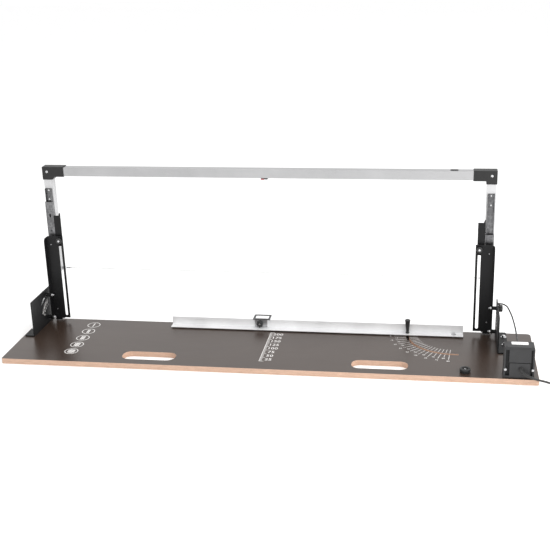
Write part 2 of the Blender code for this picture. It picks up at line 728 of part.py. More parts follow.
# ---- adjustable depth stops on the towers ----
def make_depth_stop(side, tilt):
    outer, inward = SIDES[side]
    inner = outer + inward * TOWER_WIDTH
    slot_x = inner - inward * STOP_SLOT_INSET
    stud_z = TOWER_TOP - STOP_SLOT_MARGIN_TOP - STOP_SLOT_WIDTH / 2 - 0.001
    slide = joint(side + "_depth_stop_axis", (slot_x, TOWER_FRONT, stud_z), tilt)
    bar_low = stud_z - 0.020
    bar_high = bar_low + STOP_BAR_HEIGHT
    near, far = sorted((inner - inward * STOP_BAR_INSET, inner - inward * (STOP_BAR_INSET + STOP_BAR_WIDTH)))
    ear_width, ear_height = STOP_EAR
    back_plane = TOWER_FRONT + SHEET + STOP_BAR_SETBACK
    bar = plate(
        side + "_depth_stop",
        [[(near, bar_low), (far, bar_low), (far, bar_high + ear_height), (far - ear_width * 0.6, bar_high + ear_height),
          (far - ear_width, bar_high), (near, bar_high)]],
        "Y", back_plane, back_plane + STOP_BAR_THICKNESS, BLACK_STEEL,
    )
    boss_high = STOP_BAR_SETBACK - GAP
    stud_high = STOP_BAR_SETBACK + SHEET + 0.007
    boss = turned(
        side + "_stop_boss",
        [(0, stud_high), (STOP_STUD_RADIUS, stud_high), (STOP_STUD_RADIUS, boss_high), (0.007, boss_high),
         (0.007, -0.001), (0, -0.001)],
        (slot_x, back_plane, stud_z), "-Y", None, cutters, steps=16,
    )
    hang(slide, join(bar, boss), boss)
    spin = joint(side + "_depth_knob_axis", (slot_x, TOWER_FRONT, stud_z), slide)
    knob = turned(
        side + "_depth_knob",
        [(0, STOP_KNOB_THICKNESS), (STOP_KNOB_RADIUS * 0.8, STOP_KNOB_THICKNESS),
         (STOP_KNOB_RADIUS, STOP_KNOB_THICKNESS * 0.8), (STOP_KNOB_RADIUS, 0.0025), (0.006, 0),
         (STOP_STUD_RADIUS + RUNNING, 0), (STOP_STUD_RADIUS + RUNNING, 0.0072), (0, 0.0072)],
        (slot_x, TOWER_FRONT - GAP, stud_z), "-Y", BLACK_PLASTIC,
    )
    hang(spin, knob)


# ---- swinging fence, its clamp and its length stop ----
def make_fence(swing):
    pivot_x, pivot_y = FENCE_PIVOT
    end = FENCE_START + FENCE_LENGTH
    front = FENCE_BACK - FENCE_LEG
    inside = FENCE_BACK - FENCE_WALL
    floor = FENCE_BOTTOM + FENCE_WALL
    angle = plate(
        "fence",
        [[(front, FENCE_BOTTOM), (FENCE_BACK, FENCE_BOTTOM), (FENCE_BACK, FENCE_TOP), (inside, FENCE_TOP),
          (inside, floor), (front, floor)]],
        "X", FENCE_START, end, ALUMINIUM,
    )
    pin_hole = turned(
        "pin_hole", rod(PIN_RADIUS + RUNNING, 3 * FENCE_WALL), (pivot_x, pivot_y, FENCE_BOTTOM - FENCE_WALL),
        "+Z", None, cutters,
    )
    clamp_hole = turned(
        "clamp_hole", rod(CLAMP_RADIUS + RUNNING, 3 * FENCE_WALL), (CLAMP_X, pivot_y, FENCE_BOTTOM - FENCE_WALL),
        "+Z", None, cutters, steps=16,
    )
    hang(swing, cut(angle, pin_hole, clamp_hole), pin_hole, clamp_hole)
    over = FENCE_BOTTOM + FENCE_WALL + GAP
    pin = turned(
        "fence_pivot_bolt",
        [(0, over + 0.008), (0.003, over + 0.008), (0.0065, over + 0.005), (0.0065, over),
         (PIN_RADIUS, over), (PIN_RADIUS, FENCE_BOTTOM - GAP), (0.009, FENCE_BOTTOM - GAP),
         (0.009, TOP + GAP), (PIN_RADIUS, TOP + GAP), (PIN_RADIUS, ARC_RECESS_DEPTH - GAP), (0.008, ARC_RECESS_DEPTH - GAP),
         (0.008, 0.002), (0, 0.002)],
        (pivot_x, pivot_y, 0), "+Z", ZINC,
    )
    hang(origin, pin)
    clamp_axis = joint("fence_clamp_axis", (CLAMP_X, pivot_y, over), swing)
    crown = TOP + CLAMP_HANDLE_TOP
    clamp = turned(
        "fence_clamp",
        [(0, crown), (0.0055, crown), (0.0067, crown - 0.0015), (0.0042, over + 0.008), (0.0065, over + 0.006),
         (0.0065, over), (CLAMP_RADIUS, over), (CLAMP_RADIUS, ARC_RECESS_DEPTH - 0.001),
         (0.008, ARC_RECESS_DEPTH - 0.001), (0.008, 0.002), (0, 0.002)],
        (CLAMP_X, pivot_y, 0), "+Z", BLACK_PLASTIC,
    )
    hang(clamp_axis, clamp)


def make_length_stop(swing):
    front = FENCE_BACK - FENCE_WALL - GAP
    slide = joint("length_stop_axis", (STOP_X, FENCE_BACK, FENCE_TOP), swing)
    right = STOP_X + STOP_WIDTH
    loop_front = front - STOP_SHEET - 0.004
    loop_back = FENCE_BACK + STOP_REACH
    over = FENCE_TOP + GAP
    frame_loop = plate(
        "length_stop",
        [
            rounded(STOP_X, loop_front, right, loop_back, [0.002, 0.002, 0.004, 0.004], 3),
            box_loop(STOP_X + STOP_ARM, FENCE_BACK, right - STOP_ARM, loop_back - STOP_ARM),
        ],
        "Z", over, over + STOP_SHEET, ZINC,
    )
    plate_left = STOP_X + 0.005
    knob_x = plate_left + 0.015
    knob_z = FENCE_BOTTOM + FENCE_WALL + STOP_STAR_RADIUS + 2 * GAP
    face = plate(
        "stop_face_shape",
        [
            box_loop(plate_left, FENCE_BOTTOM + FENCE_WALL + GAP, plate_left + STOP_PLATE_WIDTH, over + 0.001),
            circle(knob_x, knob_z, 0.0029, 12),
        ],
        "Y", front - STOP_SHEET, front, None, cutters,
    )
    hang(slide, join(frame_loop, face), face)
    spin = joint("stop_knob_axis", (knob_x, front, knob_z), slide)
    head_back = front - STOP_SHEET - GAP
    knob = plate(
        "stop_knob", [star(knob_x, knob_z, STOP_STAR_RADIUS, 0.002)],
        "Y", head_back - 0.009, head_back, BLACK_PLASTIC,
    )
    shaft = turned(
        "stop_knob_shaft", rod(0.0025, STOP_SHEET + 0.003),
        (knob_x, front - GAP, knob_z), "-Y", None, cutters, steps=12,
    )
    hang(spin, join(knob, shaft), shaft)


def make_bumper():
    recess = 0.0055
    bumper = turned(
        "end_bumper",
        [(0.0025, recess), (0.007, recess), (0.0085, BUMPER_HEIGHT), (BUMPER_RADIUS - 0.002, BUMPER_HEIGHT),
         (BUMPER_RADIUS, BUMPER_HEIGHT - 0.003), (BUMPER_RADIUS - 0.001, GAP), (0.0025, GAP), (0.0025, recess)],
        (BUMPER_X, BUMPER_Y, TOP), "+Z", RUBBER, steps=24,
    )
    screw = turned(
        "bumper_screw",
        [(0, recess + 0.0032), (0.0025, recess + 0.003), (0.0045, recess + GAP), (0.0021, recess + GAP),
         (0.0021, GAP), (0, GAP)],
        (BUMPER_X, BUMPER_Y, TOP), "+Z", ZINC, steps=16,
    )
    hang(origin, bumper, screw)


# ---- transformer on the board's right front corner ----
def make_transformer():
    low = (CASE_LEFT, CASE_FRONT, TOP + GAP)
    high = (CASE_RIGHT, CASE_FRONT + CASE_DEPTH, TOP + CASE_HEIGHT)
    case = block("transformer_case", low, high, BLACK_PLASTIC)
    hollow = block(
        "case_hollow",
        (low[0] + CASE_WALL, low[1] + CASE_WALL, low[2] - 0.002),
        (high[0] - CASE_WALL, high[1] - CASE_WALL, high[2] - CASE_WALL), None, cutters,
    )
    core = block(
        "transformer_core",
        (low[0] + CASE_WALL + 0.004, low[1] + CASE_WALL + 0.0045, TOP + GAP),
        (high[0] - CASE_WALL - 0.004, high[1] - CASE_WALL - 0.003, high[2] - CASE_WALL - 0.008), CORE,
    )
    hang(origin, cut(case, hollow), hollow, core)


# ---- cords: the supply's mains lead and its low-voltage lead ----
LEAD_GLAND_LENGTH = 0.007
LEAD_START = (1.387, CASE_FRONT + CASE_DEPTH + GAP, 0.088)
LEAD_END_Y = 0.2945
LEAD_END_Z = 0.107


def make_low_voltage_lead():
    bracket_face = SIDES["right"][0] + BRACKET_GAP + BRACKET_SHEET + GAP
    shape = [(0, LEAD_GLAND_LENGTH), (0.0028, LEAD_GLAND_LENGTH), (0.004, 0.002), (0.004, 0), (0, 0)]
    case_gland = turned("lead_gland_case", shape, LEAD_START, "+Y", BLACK_PLASTIC, steps=12)
    bracket_gland = turned(
        "lead_gland_bracket", shape, (bracket_face, LEAD_END_Y, LEAD_END_Z), "+X", BLACK_PLASTIC, steps=12,
    )
    start_y = LEAD_START[1] + LEAD_GLAND_LENGTH + GAP
    end_x = bracket_face + LEAD_GLAND_LENGTH + GAP
    route = [
        (1.3870, start_y, 0.0880), (1.3870, start_y + 0.010, 0.0880), (1.3878, 0.0950, 0.0842),
        (1.3888, 0.1250, 0.0800), (1.3890, 0.1600, 0.0786), (1.3882, 0.1950, 0.0800),
        (1.3862, 0.2250, 0.0834), (1.3830, 0.2500, 0.0888), (1.3780, 0.2700, 0.0954),
        (1.3710, 0.2870, 0.1032), (end_x + 0.006, LEAD_END_Y, LEAD_END_Z), (end_x, LEAD_END_Y, LEAD_END_Z),
    ]
    lead = tube_along("low_voltage_lead", smooth_route(route, 0.011), LEAD_RADIUS, RUBBER)
    hang(origin, case_gland, bracket_gland, lead)


def make_mains_lead():
    boot = [
        (1.3930, CASE_FRONT - GAP, 0.0400), (1.3930, 0.0005, 0.0400), (1.3965, -0.0048, 0.0365),
        (1.4045, -0.0070, 0.0312), (1.4130, -0.0070, 0.0266), (1.4215, -0.0062, 0.0230),
    ]
    relief = tube_along("strain_relief", smooth_route(boot, 0.006), 0.0052, RUBBER, 3, 0.62)
    on_floor = MAINS_RADIUS + 0.0001
    coil_x, coil_y = COIL_CENTRE
    outside = COIL_RADIUS + (COIL_TURNS_ACROSS - 1) * MAINS_RADIUS
    entry_y = coil_y - outside
    route = [
        (1.4220, -0.0061, 0.0228), (1.4330, -0.0050, 0.0186), (1.4450, -0.0036, 0.0152),
        (1.4570, -0.0022, 0.0118), (1.4700, 0.0000, 0.0072), (1.4850, 0.0035, 0.0039),
        (1.5020, 0.0078, on_floor), (1.5200, 0.0124, on_floor), (1.5380, 0.0158, on_floor),
        (1.5560, 0.0176, on_floor), (1.5690, entry_y, on_floor), (1.5760, entry_y, on_floor),
    ]
    lead = tube_along("mains_lead", smooth_route(route, 0.012), MAINS_RADIUS, RUBBER)
    inner = COIL_RADIUS - COIL_TURNS_ACROSS * MAINS_RADIUS
    outer = COIL_RADIUS + COIL_TURNS_ACROSS * MAINS_RADIUS
    height = COIL_LAYERS * 2 * MAINS_RADIUS
    coil = turned(
        "mains_coil", [(inner, height), (outer, height), (outer, 0), (inner, 0), (inner, height)],
        (coil_x, coil_y, 0), "+Z", RUBBER, steps=24,
    )
    plug_y = 0.1300
    tail = [
        (coil_x + outside, 0.0862, 0.0070), (coil_x + outside - 0.0004, 0.0940, 0.0050),
        (coil_x + outside - 0.0030, 0.1050, 0.0034), (coil_x + outside - 0.0090, 0.1170, 0.0031),
        (coil_x + outside - 0.0180, 0.1255, 0.0042), (coil_x + outside - 0.0275, 0.1295, 0.0062),
        (coil_x + outside - 0.0360, plug_y, 0.0068), (coil_x + outside - 0.0420, plug_y, 0.0068),
    ]
    tail_lead = tube_along("mains_tail", smooth_route(tail, 0.010), MAINS_RADIUS, RUBBER)
    plug_back = tail[-1][0] - GAP
    plug = plate(
        "mains_plug",
        [[(plug_back, plug_y - 0.005), (plug_back, plug_y + 0.005), (plug_back - 0.012, plug_y + 0.0085),
          (plug_back - 0.026, plug_y + 0.0177), (plug_back - 0.036, plug_y + 0.0177),
          (plug_back - 0.036, plug_y - 0.0177), (plug_back - 0.026, plug_y - 0.0177),
          (plug_back - 0.012, plug_y - 0.0085)]],
        "Z", 0, 0.0137, BLACK_PLASTIC,
    )
    pins = [
        turned(
            f"plug_pin_{i}", rod(0.002, 0.021), (plug_back - 0.034, plug_y + y, 0.00685),
            "-X", None, cutters, steps=12,
        )
        for i, y in enumerate((-0.0093, 0.0093))
    ]
    hang(origin, relief, lead, coil, tail_lead, join(plug, *pins), *pins)


make_board()
tilt_axis = joint("tilt_axis", (BOARD_LENGTH / 2, PIVOT_Y, PIVOT_Z))
bow_axis = joint("bow_axis", (BOARD_LENGTH / 2, POST_Y, POST_Z), tilt_axis)
for side_name in SIDES:
    plate_inner, plate_outer = make_bracket(side_name)
    make_tilt_hardware(side_name, plate_inner, plate_outer, tilt_axis)
    make_tower(side_name, tilt_axis)
    slide_x = SIDES[side_name][0] + SIDES[side_name][1] * SLIDE_INSET
    travel = joint(side_name + "_slide_middle_axis", (slide_x, SLIDE_Y, SLIDE_Z), tilt_axis)
    make_slide(side_name, tilt_axis, travel, bow_axis)
    make_post(side_name, bow_axis)
    make_depth_stop(side_name, tilt_axis)
make_bow(bow_axis)
make_switch(bow_axis)
fence_axis = joint("fence_axis", (*FENCE_PIVOT, TOP))
make_fence(fence_axis)
make_length_stop(fence_axis)
make_bumper()
make_transformer()
make_low_voltage_lead()
make_mains_lead()
for piece in machine.objects:
    if piece.type == "MESH":
        shade_round(piece)
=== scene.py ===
import json
import math

import bmesh
import bpy
from mathutils import Matrix, Vector


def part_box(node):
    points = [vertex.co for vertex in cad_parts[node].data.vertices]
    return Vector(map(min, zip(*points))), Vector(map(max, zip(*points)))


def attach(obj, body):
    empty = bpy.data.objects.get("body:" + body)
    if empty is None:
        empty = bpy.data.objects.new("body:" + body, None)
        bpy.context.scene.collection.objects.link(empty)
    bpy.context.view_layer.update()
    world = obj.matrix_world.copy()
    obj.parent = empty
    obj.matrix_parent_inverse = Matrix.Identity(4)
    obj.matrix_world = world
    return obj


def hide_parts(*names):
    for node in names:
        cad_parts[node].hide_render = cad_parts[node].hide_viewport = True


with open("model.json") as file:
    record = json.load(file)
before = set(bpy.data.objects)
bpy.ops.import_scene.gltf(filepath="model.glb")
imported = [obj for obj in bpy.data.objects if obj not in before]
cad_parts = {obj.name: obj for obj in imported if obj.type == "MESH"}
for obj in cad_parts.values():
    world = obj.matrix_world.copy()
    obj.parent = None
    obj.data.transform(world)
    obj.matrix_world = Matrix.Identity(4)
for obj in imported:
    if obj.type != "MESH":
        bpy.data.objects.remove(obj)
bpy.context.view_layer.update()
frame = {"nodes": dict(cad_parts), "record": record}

print("frame loaded")

# plan positions run from the board's left front corner, and this shift takes them to the shared frame
boardLength = 1.44
shift = Vector((-boardLength / 2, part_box("base_board")[0][1], 0))


def plan(x, y, z):
    return Vector((x, y, z)) + shift


def linked(name, data):
    made = bpy.data.objects.new(name, data)
    bpy.context.collection.objects.link(made)
    return made


# camera
view = {"place": (1.1776, -2.3936, 1.1197), "yaw": 9.648, "pitch": 19.109, "roll": -1.707, "lens": 66.1, "sensor": 36}
yaw, pitch, roll = (math.radians(view[k]) for k in ("yaw", "pitch", "roll"))
ahead = Vector((-math.sin(yaw) * math.cos(pitch), math.cos(yaw) * math.cos(pitch), -math.sin(pitch)))
rightward = Vector((math.cos(yaw), math.sin(yaw), 0))
upward = rightward.cross(ahead)
cameraX = rightward * math.cos(roll) + upward * math.sin(roll)
cameraY = upward * math.cos(roll) - rightward * math.sin(roll)
cameraData = bpy.data.cameras.new("camera")
cameraData.lens = view["lens"]
cameraData.sensor_width = view["sensor"]
camera = linked("camera", cameraData)
turn = Matrix((cameraX, cameraY, -ahead)).transposed().to_4x4()
camera.matrix_world = Matrix.Translation(plan(*view["place"])) @ turn
bpy.context.scene.camera = camera
print("camera placed")


def smoothRoute(points, step):
    knots = [Vector(p) for p in points]
    knots = [2 * knots[0] - knots[1]] + knots + [2 * knots[-1] - knots[-2]]
    route = []
    for a, b, c, d in zip(knots, knots[1:], knots[2:], knots[3:]):
        count = max(1, round((c - b).length / step))
        for i in range(count):
            t = i / count
            route.append(
                0.5 * (2 * b + (c - a) * t + (2 * a - 5 * b + 4 * c - d) * t**2
                       + (3 * b - a - 3 * c + d) * t**3)
            )
    return route + [knots[-2]]


def cordCurve(name, route, radius, resolution=4):
    data = bpy.data.curves.new(name, "CURVE")
    data.dimensions = "3D"
    data.bevel_depth = radius
    data.bevel_resolution = resolution
    data.use_fill_caps = True
    spline = data.splines.new("POLY")
    spline.points.add(len(route) - 1)
    for point, place in zip(spline.points, route):
        point.co = (*place, 1)
    return linked(name, data)


# the supply's two cords, with their routes in plan positions
mains = {"radius": 0.0027, "coilRadius": 0.036, "across": 4, "centre": (1.600, 0.062), "length": 1.95}
lead = {"radius": 0.0020, "length": 0.27}


def easeStep(share):
    share = min(max(share, 0), 1)
    return share * share * (3 - 2 * share)


def coilRoute():
    # turns lie beside each other in two layers, and each eases one diameter over in the same short arc
    r, last = mains["radius"], mains["across"] - 1
    cx, cy = mains["centre"]
    route = []
    for i in range(1, int((2 * mains["across"] - 0.75) * 36)):
        turns = i / 36
        whole, part = int(turns), turns % 1
        if turns < last + 0.52:
            ring, lift = min(whole + easeStep((part - 0.73) / 0.25), last), 0
        elif turns < last + 1:
            ring, lift = last, easeStep((part - 0.52) / 0.21)
        else:
            ring, lift = 2 * last + 1 - whole - easeStep((part - 0.27) / 0.25), 1
        reach = mains["coilRadius"] + last * r - 2 * r * max(ring, 0)
        angle = 2 * math.pi * turns - math.pi / 2
        route.append((cx + reach * math.cos(angle), cy + reach * math.sin(angle), r + 0.0001 + 2 * r * lift))
    return route


def mainsRoute():
    low = mains["radius"] + 0.0001
    cx, cy = mains["centre"]
    edge = mains["coilRadius"] + (mains["across"] - 1) * mains["radius"]
    out = smoothRoute([
        (1.4045, -0.0070, 0.0312), (1.4130, -0.0070, 0.0266), (1.4220, -0.0061, 0.0228), (1.4330, -0.0050, 0.0186),
        (1.4450, -0.0036, 0.0152), (1.4570, -0.0022, 0.0118), (1.4700, 0.0000, 0.0072), (1.4850, 0.0035, 0.0039),
        (1.5020, 0.0078, low), (1.5200, 0.0124, low), (1.5380, 0.0158, low), (1.5560, 0.0176, low),
        (1.5690, cy - edge, low), (1.5830, cy - edge, low), (cx, cy - edge, low),
    ], 0.006)
    x = cx + edge
    tail = smoothRoute([
        (x, cy, low + 2 * mains["radius"]), (x, 0.0740, 0.0081), (x, 0.0862, 0.0070), (x - 0.0004, 0.0960, 0.0050),
        (x - 0.0028, 0.1060, 0.0034), (x - 0.0082, 0.1160, 0.0031), (x - 0.0162, 0.1238, 0.0038),
        (x - 0.0256, 0.1284, 0.0056), (x - 0.0350, 0.1300, 0.0067), (x - 0.0440, 0.1300, 0.0068),
    ], 0.006)
    return [plan(*p) for p in [*out, *coilRoute(), *tail]]


def leadRoute():
    route = smoothRoute([
        (1.3870, 0.0500, 0.0880), (1.3870, 0.0643, 0.0880), (1.3878, 0.0950, 0.0842), (1.3888, 0.1250, 0.0800),
        (1.3890, 0.1600, 0.0786), (1.3882, 0.1950, 0.0800), (1.3862, 0.2250, 0.0834), (1.3830, 0.2500, 0.0888),
        (1.3780, 0.2700, 0.0954), (1.3710, 0.2870, 0.1032), (1.3591, 0.2945, 0.1070), (1.3490, 0.2945, 0.1070),
    ], 0.006)
    return [plan(*p) for p in route]


# finishes, each with its own tones, gloss and fine relief
def newPaint(name, colour, rough, metal=0.0, **more):
    paint = bpy.data.materials.new(name)
    paint.use_nodes = True
    shader = paint.node_tree.nodes["Principled BSDF"]
    shader.inputs["Base Color"].default_value = (*colour, 1)
    shader.inputs["Roughness"].default_value = rough
    shader.inputs["Metallic"].default_value = metal
    for key, value in more.items():
        shader.inputs[key.replace("_", " ")].default_value = value
    return paint, paint.node_tree, shader


def addNode(tree, kind, **settings):
    node = tree.nodes.new(kind)
    for key, value in settings.items():
        if key.startswith("in_"):
            name = key[3:].replace("_", " ")
            node.inputs[int(name) if name.isdigit() else name].default_value = value
        else:
            setattr(node, key, value)
    return node


def ramp(tree, source, stops):
    node = tree.nodes.new("ShaderNodeValToRGB")
    points = node.color_ramp.elements
    while len(points) < len(stops):
        points.new(0.5)
    for point, (at, colour) in zip(points, stops):
        point.position = at
        point.color = (*colour, 1) if len(colour) == 3 else colour
    tree.links.new(source, node.inputs["Fac"])
    return node.outputs["Color"]


def grey(value):
    return (value, value, value)


def noiseOf(tree, scale, stretch=(1, 1, 1), detail=4, rough=0.55):
    where = addNode(tree, "ShaderNodeTexCoord")
    mapping = addNode(tree, "ShaderNodeMapping")
    mapping.inputs["Scale"].default_value = stretch
    tree.links.new(where.outputs["Object"], mapping.inputs["Vector"])
    noise = addNode(tree, "ShaderNodeTexNoise", in_Scale=scale, in_Detail=detail, in_Roughness=rough)
    tree.links.new(mapping.outputs["Vector"], noise.inputs["Vector"])
    return noise.outputs["Fac"]


def bump(tree, shader, height, strength, depth):
    node = addNode(tree, "ShaderNodeBump", in_Strength=strength, in_Distance=depth)
    tree.links.new(height, node.inputs["Height"])
    tree.links.new(node.outputs["Normal"], shader.inputs["Normal"])


def filmPaint():
    # phenolic film: a faint pressed mesh, light scuffs and a low, slightly uneven gloss
    paint, tree, shader = newPaint("boardFilm", (0.034, 0.021, 0.015), 0.31, IOR=1.66)
    shader.inputs["Specular Tint"].default_value = (1.0, 0.95, 0.92, 1)
    cloudy = noiseOf(tree, 5, (1, 1.6, 1), 4, 0.5)
    colour = ramp(tree, cloudy, [(0.3, (0.031, 0.019, 0.0135)), (0.75, (0.038, 0.024, 0.017))])
    tree.links.new(colour, shader.inputs["Base Color"])
    scuffs = noiseOf(tree, 26, (0.5, 2, 1), 3, 0.6)
    rough = ramp(tree, scuffs, [(0.35, grey(0.29)), (0.6, grey(0.31)), (0.85, grey(0.35))])
    tree.links.new(rough, shader.inputs["Roughness"])
    grain = noiseOf(tree, 900, (1, 1, 1), 2, 0.5)
    bump(tree, shader, grain, 0.03, 0.00005)
    return paint


def plyPaint():
    # birch plies seen from the side: face and core plies in turn, thin dark glue lines, cut marks
    paint, tree, shader = newPaint("plyEdge", (0.62, 0.40, 0.27), 0.6)
    where = addNode(tree, "ShaderNodeTexCoord")
    split = addNode(tree, "ShaderNodeSeparateXYZ")
    tree.links.new(where.outputs["Object"], split.inputs["Vector"])
    waver = noiseOf(tree, 9, (1, 1, 0.2), 3)
    warped = addNode(tree, "ShaderNodeMath", operation="MULTIPLY_ADD", in_1=0.0009)
    tree.links.new(waver, warped.inputs[0])
    tree.links.new(split.outputs["Z"], warped.inputs[2])
    plies = addNode(tree, "ShaderNodeMath", operation="MULTIPLY", in_1=1 / 0.00278)
    tree.links.new(warped.outputs[0], plies.inputs[0])
    phase = addNode(tree, "ShaderNodeMath", operation="FRACT")
    tree.links.new(plies.outputs[0], phase.inputs[0])
    layers = ramp(tree, phase.outputs[0], [
        (0.0, (0.42, 0.25, 0.16)), (0.07, (0.72, 0.50, 0.38)), (0.46, (0.68, 0.46, 0.35)),
        (0.50, (0.32, 0.19, 0.12)), (0.57, (0.54, 0.35, 0.25)), (0.97, (0.50, 0.32, 0.22)),
    ])
    fibres = ramp(tree, noiseOf(tree, 45, (1, 1, 9), 6, 0.7), [(0.3, grey(0.62)), (0.72, grey(1.0))])
    mix = addNode(tree, "ShaderNodeMix", data_type="RGBA", blend_type="MULTIPLY")
    mix.inputs[0].default_value = 0.75
    tree.links.new(layers, mix.inputs[6])
    tree.links.new(fibres, mix.inputs[7])
    tree.links.new(mix.outputs[2], shader.inputs["Base Color"])
    bump(tree, shader, noiseOf(tree, 160, (1, 1, 6), 4, 0.6), 0.35, 0.0003)
    return paint


def metalPaint(name, colour, rough, stretch, scale=240, contrast=0.1, strength=0.05, metal=1.0):
    # drawn or rolled metal: fine streaks along one axis, and broad patches of duller finish
    paint, tree, shader = newPaint(name, colour, rough, metal)
    streaks = noiseOf(tree, scale, stretch, 4, 0.6)
    patches = noiseOf(tree, 11, (1, 1, 1), 4, 0.6)
    low, high = rough - contrast, rough + contrast
    spread = addNode(tree, "ShaderNodeMath", operation="ADD")
    tree.links.new(streaks, spread.inputs[0])
    tree.links.new(patches, spread.inputs[1])
    half = addNode(tree, "ShaderNodeMath", operation="MULTIPLY", in_1=0.5)
    tree.links.new(spread.outputs[0], half.inputs[0])
    tree.links.new(ramp(tree, half.outputs[0], [(0.35, grey(low)), (0.65, grey(high))]), shader.inputs["Roughness"])
    dull = [c * 0.86 for c in colour]
    tree.links.new(ramp(tree, patches, [(0.3, dull), (0.7, colour)]), shader.inputs["Base Color"])
    bump(tree, shader, streaks, strength, 0.0002)
    return paint


def slidePaint():
    # zinc plate: small crystal patches and greasy, darker areas
    paint, tree, shader = newPaint("zincPlate", (0.42, 0.42, 0.43), 0.36, 1.0)
    where = addNode(tree, "ShaderNodeTexCoord")
    cells = addNode(tree, "ShaderNodeTexVoronoi", in_Scale=170.0)
    tree.links.new(where.outputs["Object"], cells.inputs["Vector"])
    patches = noiseOf(tree, 26, (1, 1, 0.5), 5, 0.65)
    mix = addNode(tree, "ShaderNodeMix", data_type="FLOAT", in_0=0.3)
    tree.links.new(patches, mix.inputs[2])
    tree.links.new(cells.outputs["Distance"], mix.inputs[3])
    tones = [(0.25, (0.085, 0.085, 0.088)), (0.5, (0.16, 0.16, 0.164)), (0.75, (0.28, 0.28, 0.285))]
    tree.links.new(ramp(tree, mix.outputs[0], tones), shader.inputs["Base Color"])
    tree.links.new(ramp(tree, patches, [(0.3, grey(0.46)), (0.7, grey(0.28))]), shader.inputs["Roughness"])
    bump(tree, shader, patches, 0.08, 0.0002)
    return paint


def coatPaint(name, colour, rough, orangePeel, strength, wear=(0.05, 0.05, 0.05), gloss=0.5):
    # powder coat or moulded skin: tiny lumps, slightly uneven gloss, faint paler rubs
    paint, tree, shader = newPaint(name, colour, rough, Specular_IOR_Level=gloss)
    rubs = noiseOf(tree, 14, (1, 1, 1), 6, 0.7)
    lighter = [c + w for c, w in zip(colour, wear)]
    tree.links.new(ramp(tree, rubs, [(0.45, colour), (0.85, lighter)]), shader.inputs["Base Color"])
    span = [(0.3, grey(max(rough - 0.06, 0.05))), (0.7, grey(rough + 0.08))]
    tree.links.new(ramp(tree, rubs, span), shader.inputs["Roughness"])
    bump(tree, shader, noiseOf(tree, orangePeel, (1, 1, 1), 2, 0.5), strength, 0.00015)
    return paint


paints = {
    "film": filmPaint(),
    "ply": plyPaint(),
    "bow": metalPaint("bowAluminium", (0.50, 0.50, 0.505), 0.36, (0.06, 6, 6), strength=0.05),
    "post": metalPaint("postAluminium", (0.60, 0.60, 0.605), 0.48, (6, 6, 0.06), strength=0.06, metal=0.4),
    "fence": metalPaint("fenceAluminium", (0.86, 0.86, 0.865), 0.46, (0.05, 5, 5), contrast=0.05, strength=0.02,
                        metal=0.5),
    "zinc": slidePaint(),
    "bolt": metalPaint("boltZinc", (0.68, 0.68, 0.69), 0.24, (1, 1, 1), 300, 0.08, strength=0.08),
    "stop": metalPaint("stopSteel", (0.50, 0.50, 0.51), 0.32, (1, 1, 1), 90, 0.08, strength=0.05),
    "wire": metalPaint("resistanceWire", (0.10, 0.095, 0.09), 0.45, (0.3, 4, 4), 500, 0.1, strength=0.1),
    "core": metalPaint("coreSteel", (0.20, 0.20, 0.21), 0.5, (0.02, 60, 0.02), 40, 0.1, strength=0.5),
    "arm": metalPaint("stopArms", (0.12, 0.12, 0.122), 0.38, (1, 1, 1), 120, 0.08, strength=0.05),
    "steel": coatPaint("blackPowderCoat", (0.0055, 0.0055, 0.006), 0.47, 1300, 0.14, (0.006, 0.006, 0.006), 0.28),
    "corner": coatPaint("cornerPlastic", (0.017, 0.017, 0.017), 0.46, 1700, 0.30, (0.012, 0.012, 0.012), 0.32),
    "case": coatPaint("casePlastic", (0.025, 0.025, 0.026), 0.44, 1500, 0.35, (0.012, 0.012, 0.012), 0.38),
    "knob": coatPaint("knobPlastic", (0.016, 0.016, 0.016), 0.36, 1200, 0.16, (0.014, 0.014, 0.014)),
    "rubber": coatPaint("cordRubber", (0.018, 0.018, 0.018), 0.46, 900, 0.16, (0.012, 0.012, 0.012)),
    "bumper": coatPaint("bumperRubber", (0.014, 0.014, 0.014), 0.38, 1100, 0.14, (0.012, 0.012, 0.012)),
    "red": coatPaint("switchRed", (0.42, 0.012, 0.010), 0.28, 900, 0.08, (0.05, 0.004, 0.004)),
    "print": coatPaint("printWhite", (0.80, 0.78, 0.76), 0.5, 500, 0.1, (0.08, 0.08, 0.08)),
    "label": coatPaint("labelPaper", (0.80, 0.80, 0.79), 0.42, 400, 0.08, (0.06, 0.06, 0.06)),
}
print("materials made")


# the body each CAD node moves with
bodyOf = {n: b for b, nodes in frame["record"]["behaviour"]["bodies"].items() for n in nodes}


def newPiece(name, mesh, paint, body, nodes=()):
    if paint:
        mesh.materials.clear()
        mesh.materials.append(paint)
    piece = linked(name, mesh)
    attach(piece, body)
    if nodes:
        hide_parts(*nodes)
    return piece


def meshOf(name, work, smoothAngle=35):
    mesh = bpy.data.meshes.new(name)
    work.to_mesh(mesh)
    work.free()
    if smoothAngle:
        mesh.shade_smooth()
        mesh.set_sharp_from_angle(angle=math.radians(smoothAngle))
    return mesh


def baked(made):
    # evaluates an object's modifiers into a plain mesh and drops the object
    bpy.context.view_layer.update()
    graph = bpy.context.evaluated_depsgraph_get()
    mesh = bpy.data.meshes.new_from_object(made.evaluated_get(graph))
    bpy.data.objects.remove(made, do_unlink=True)
    return mesh


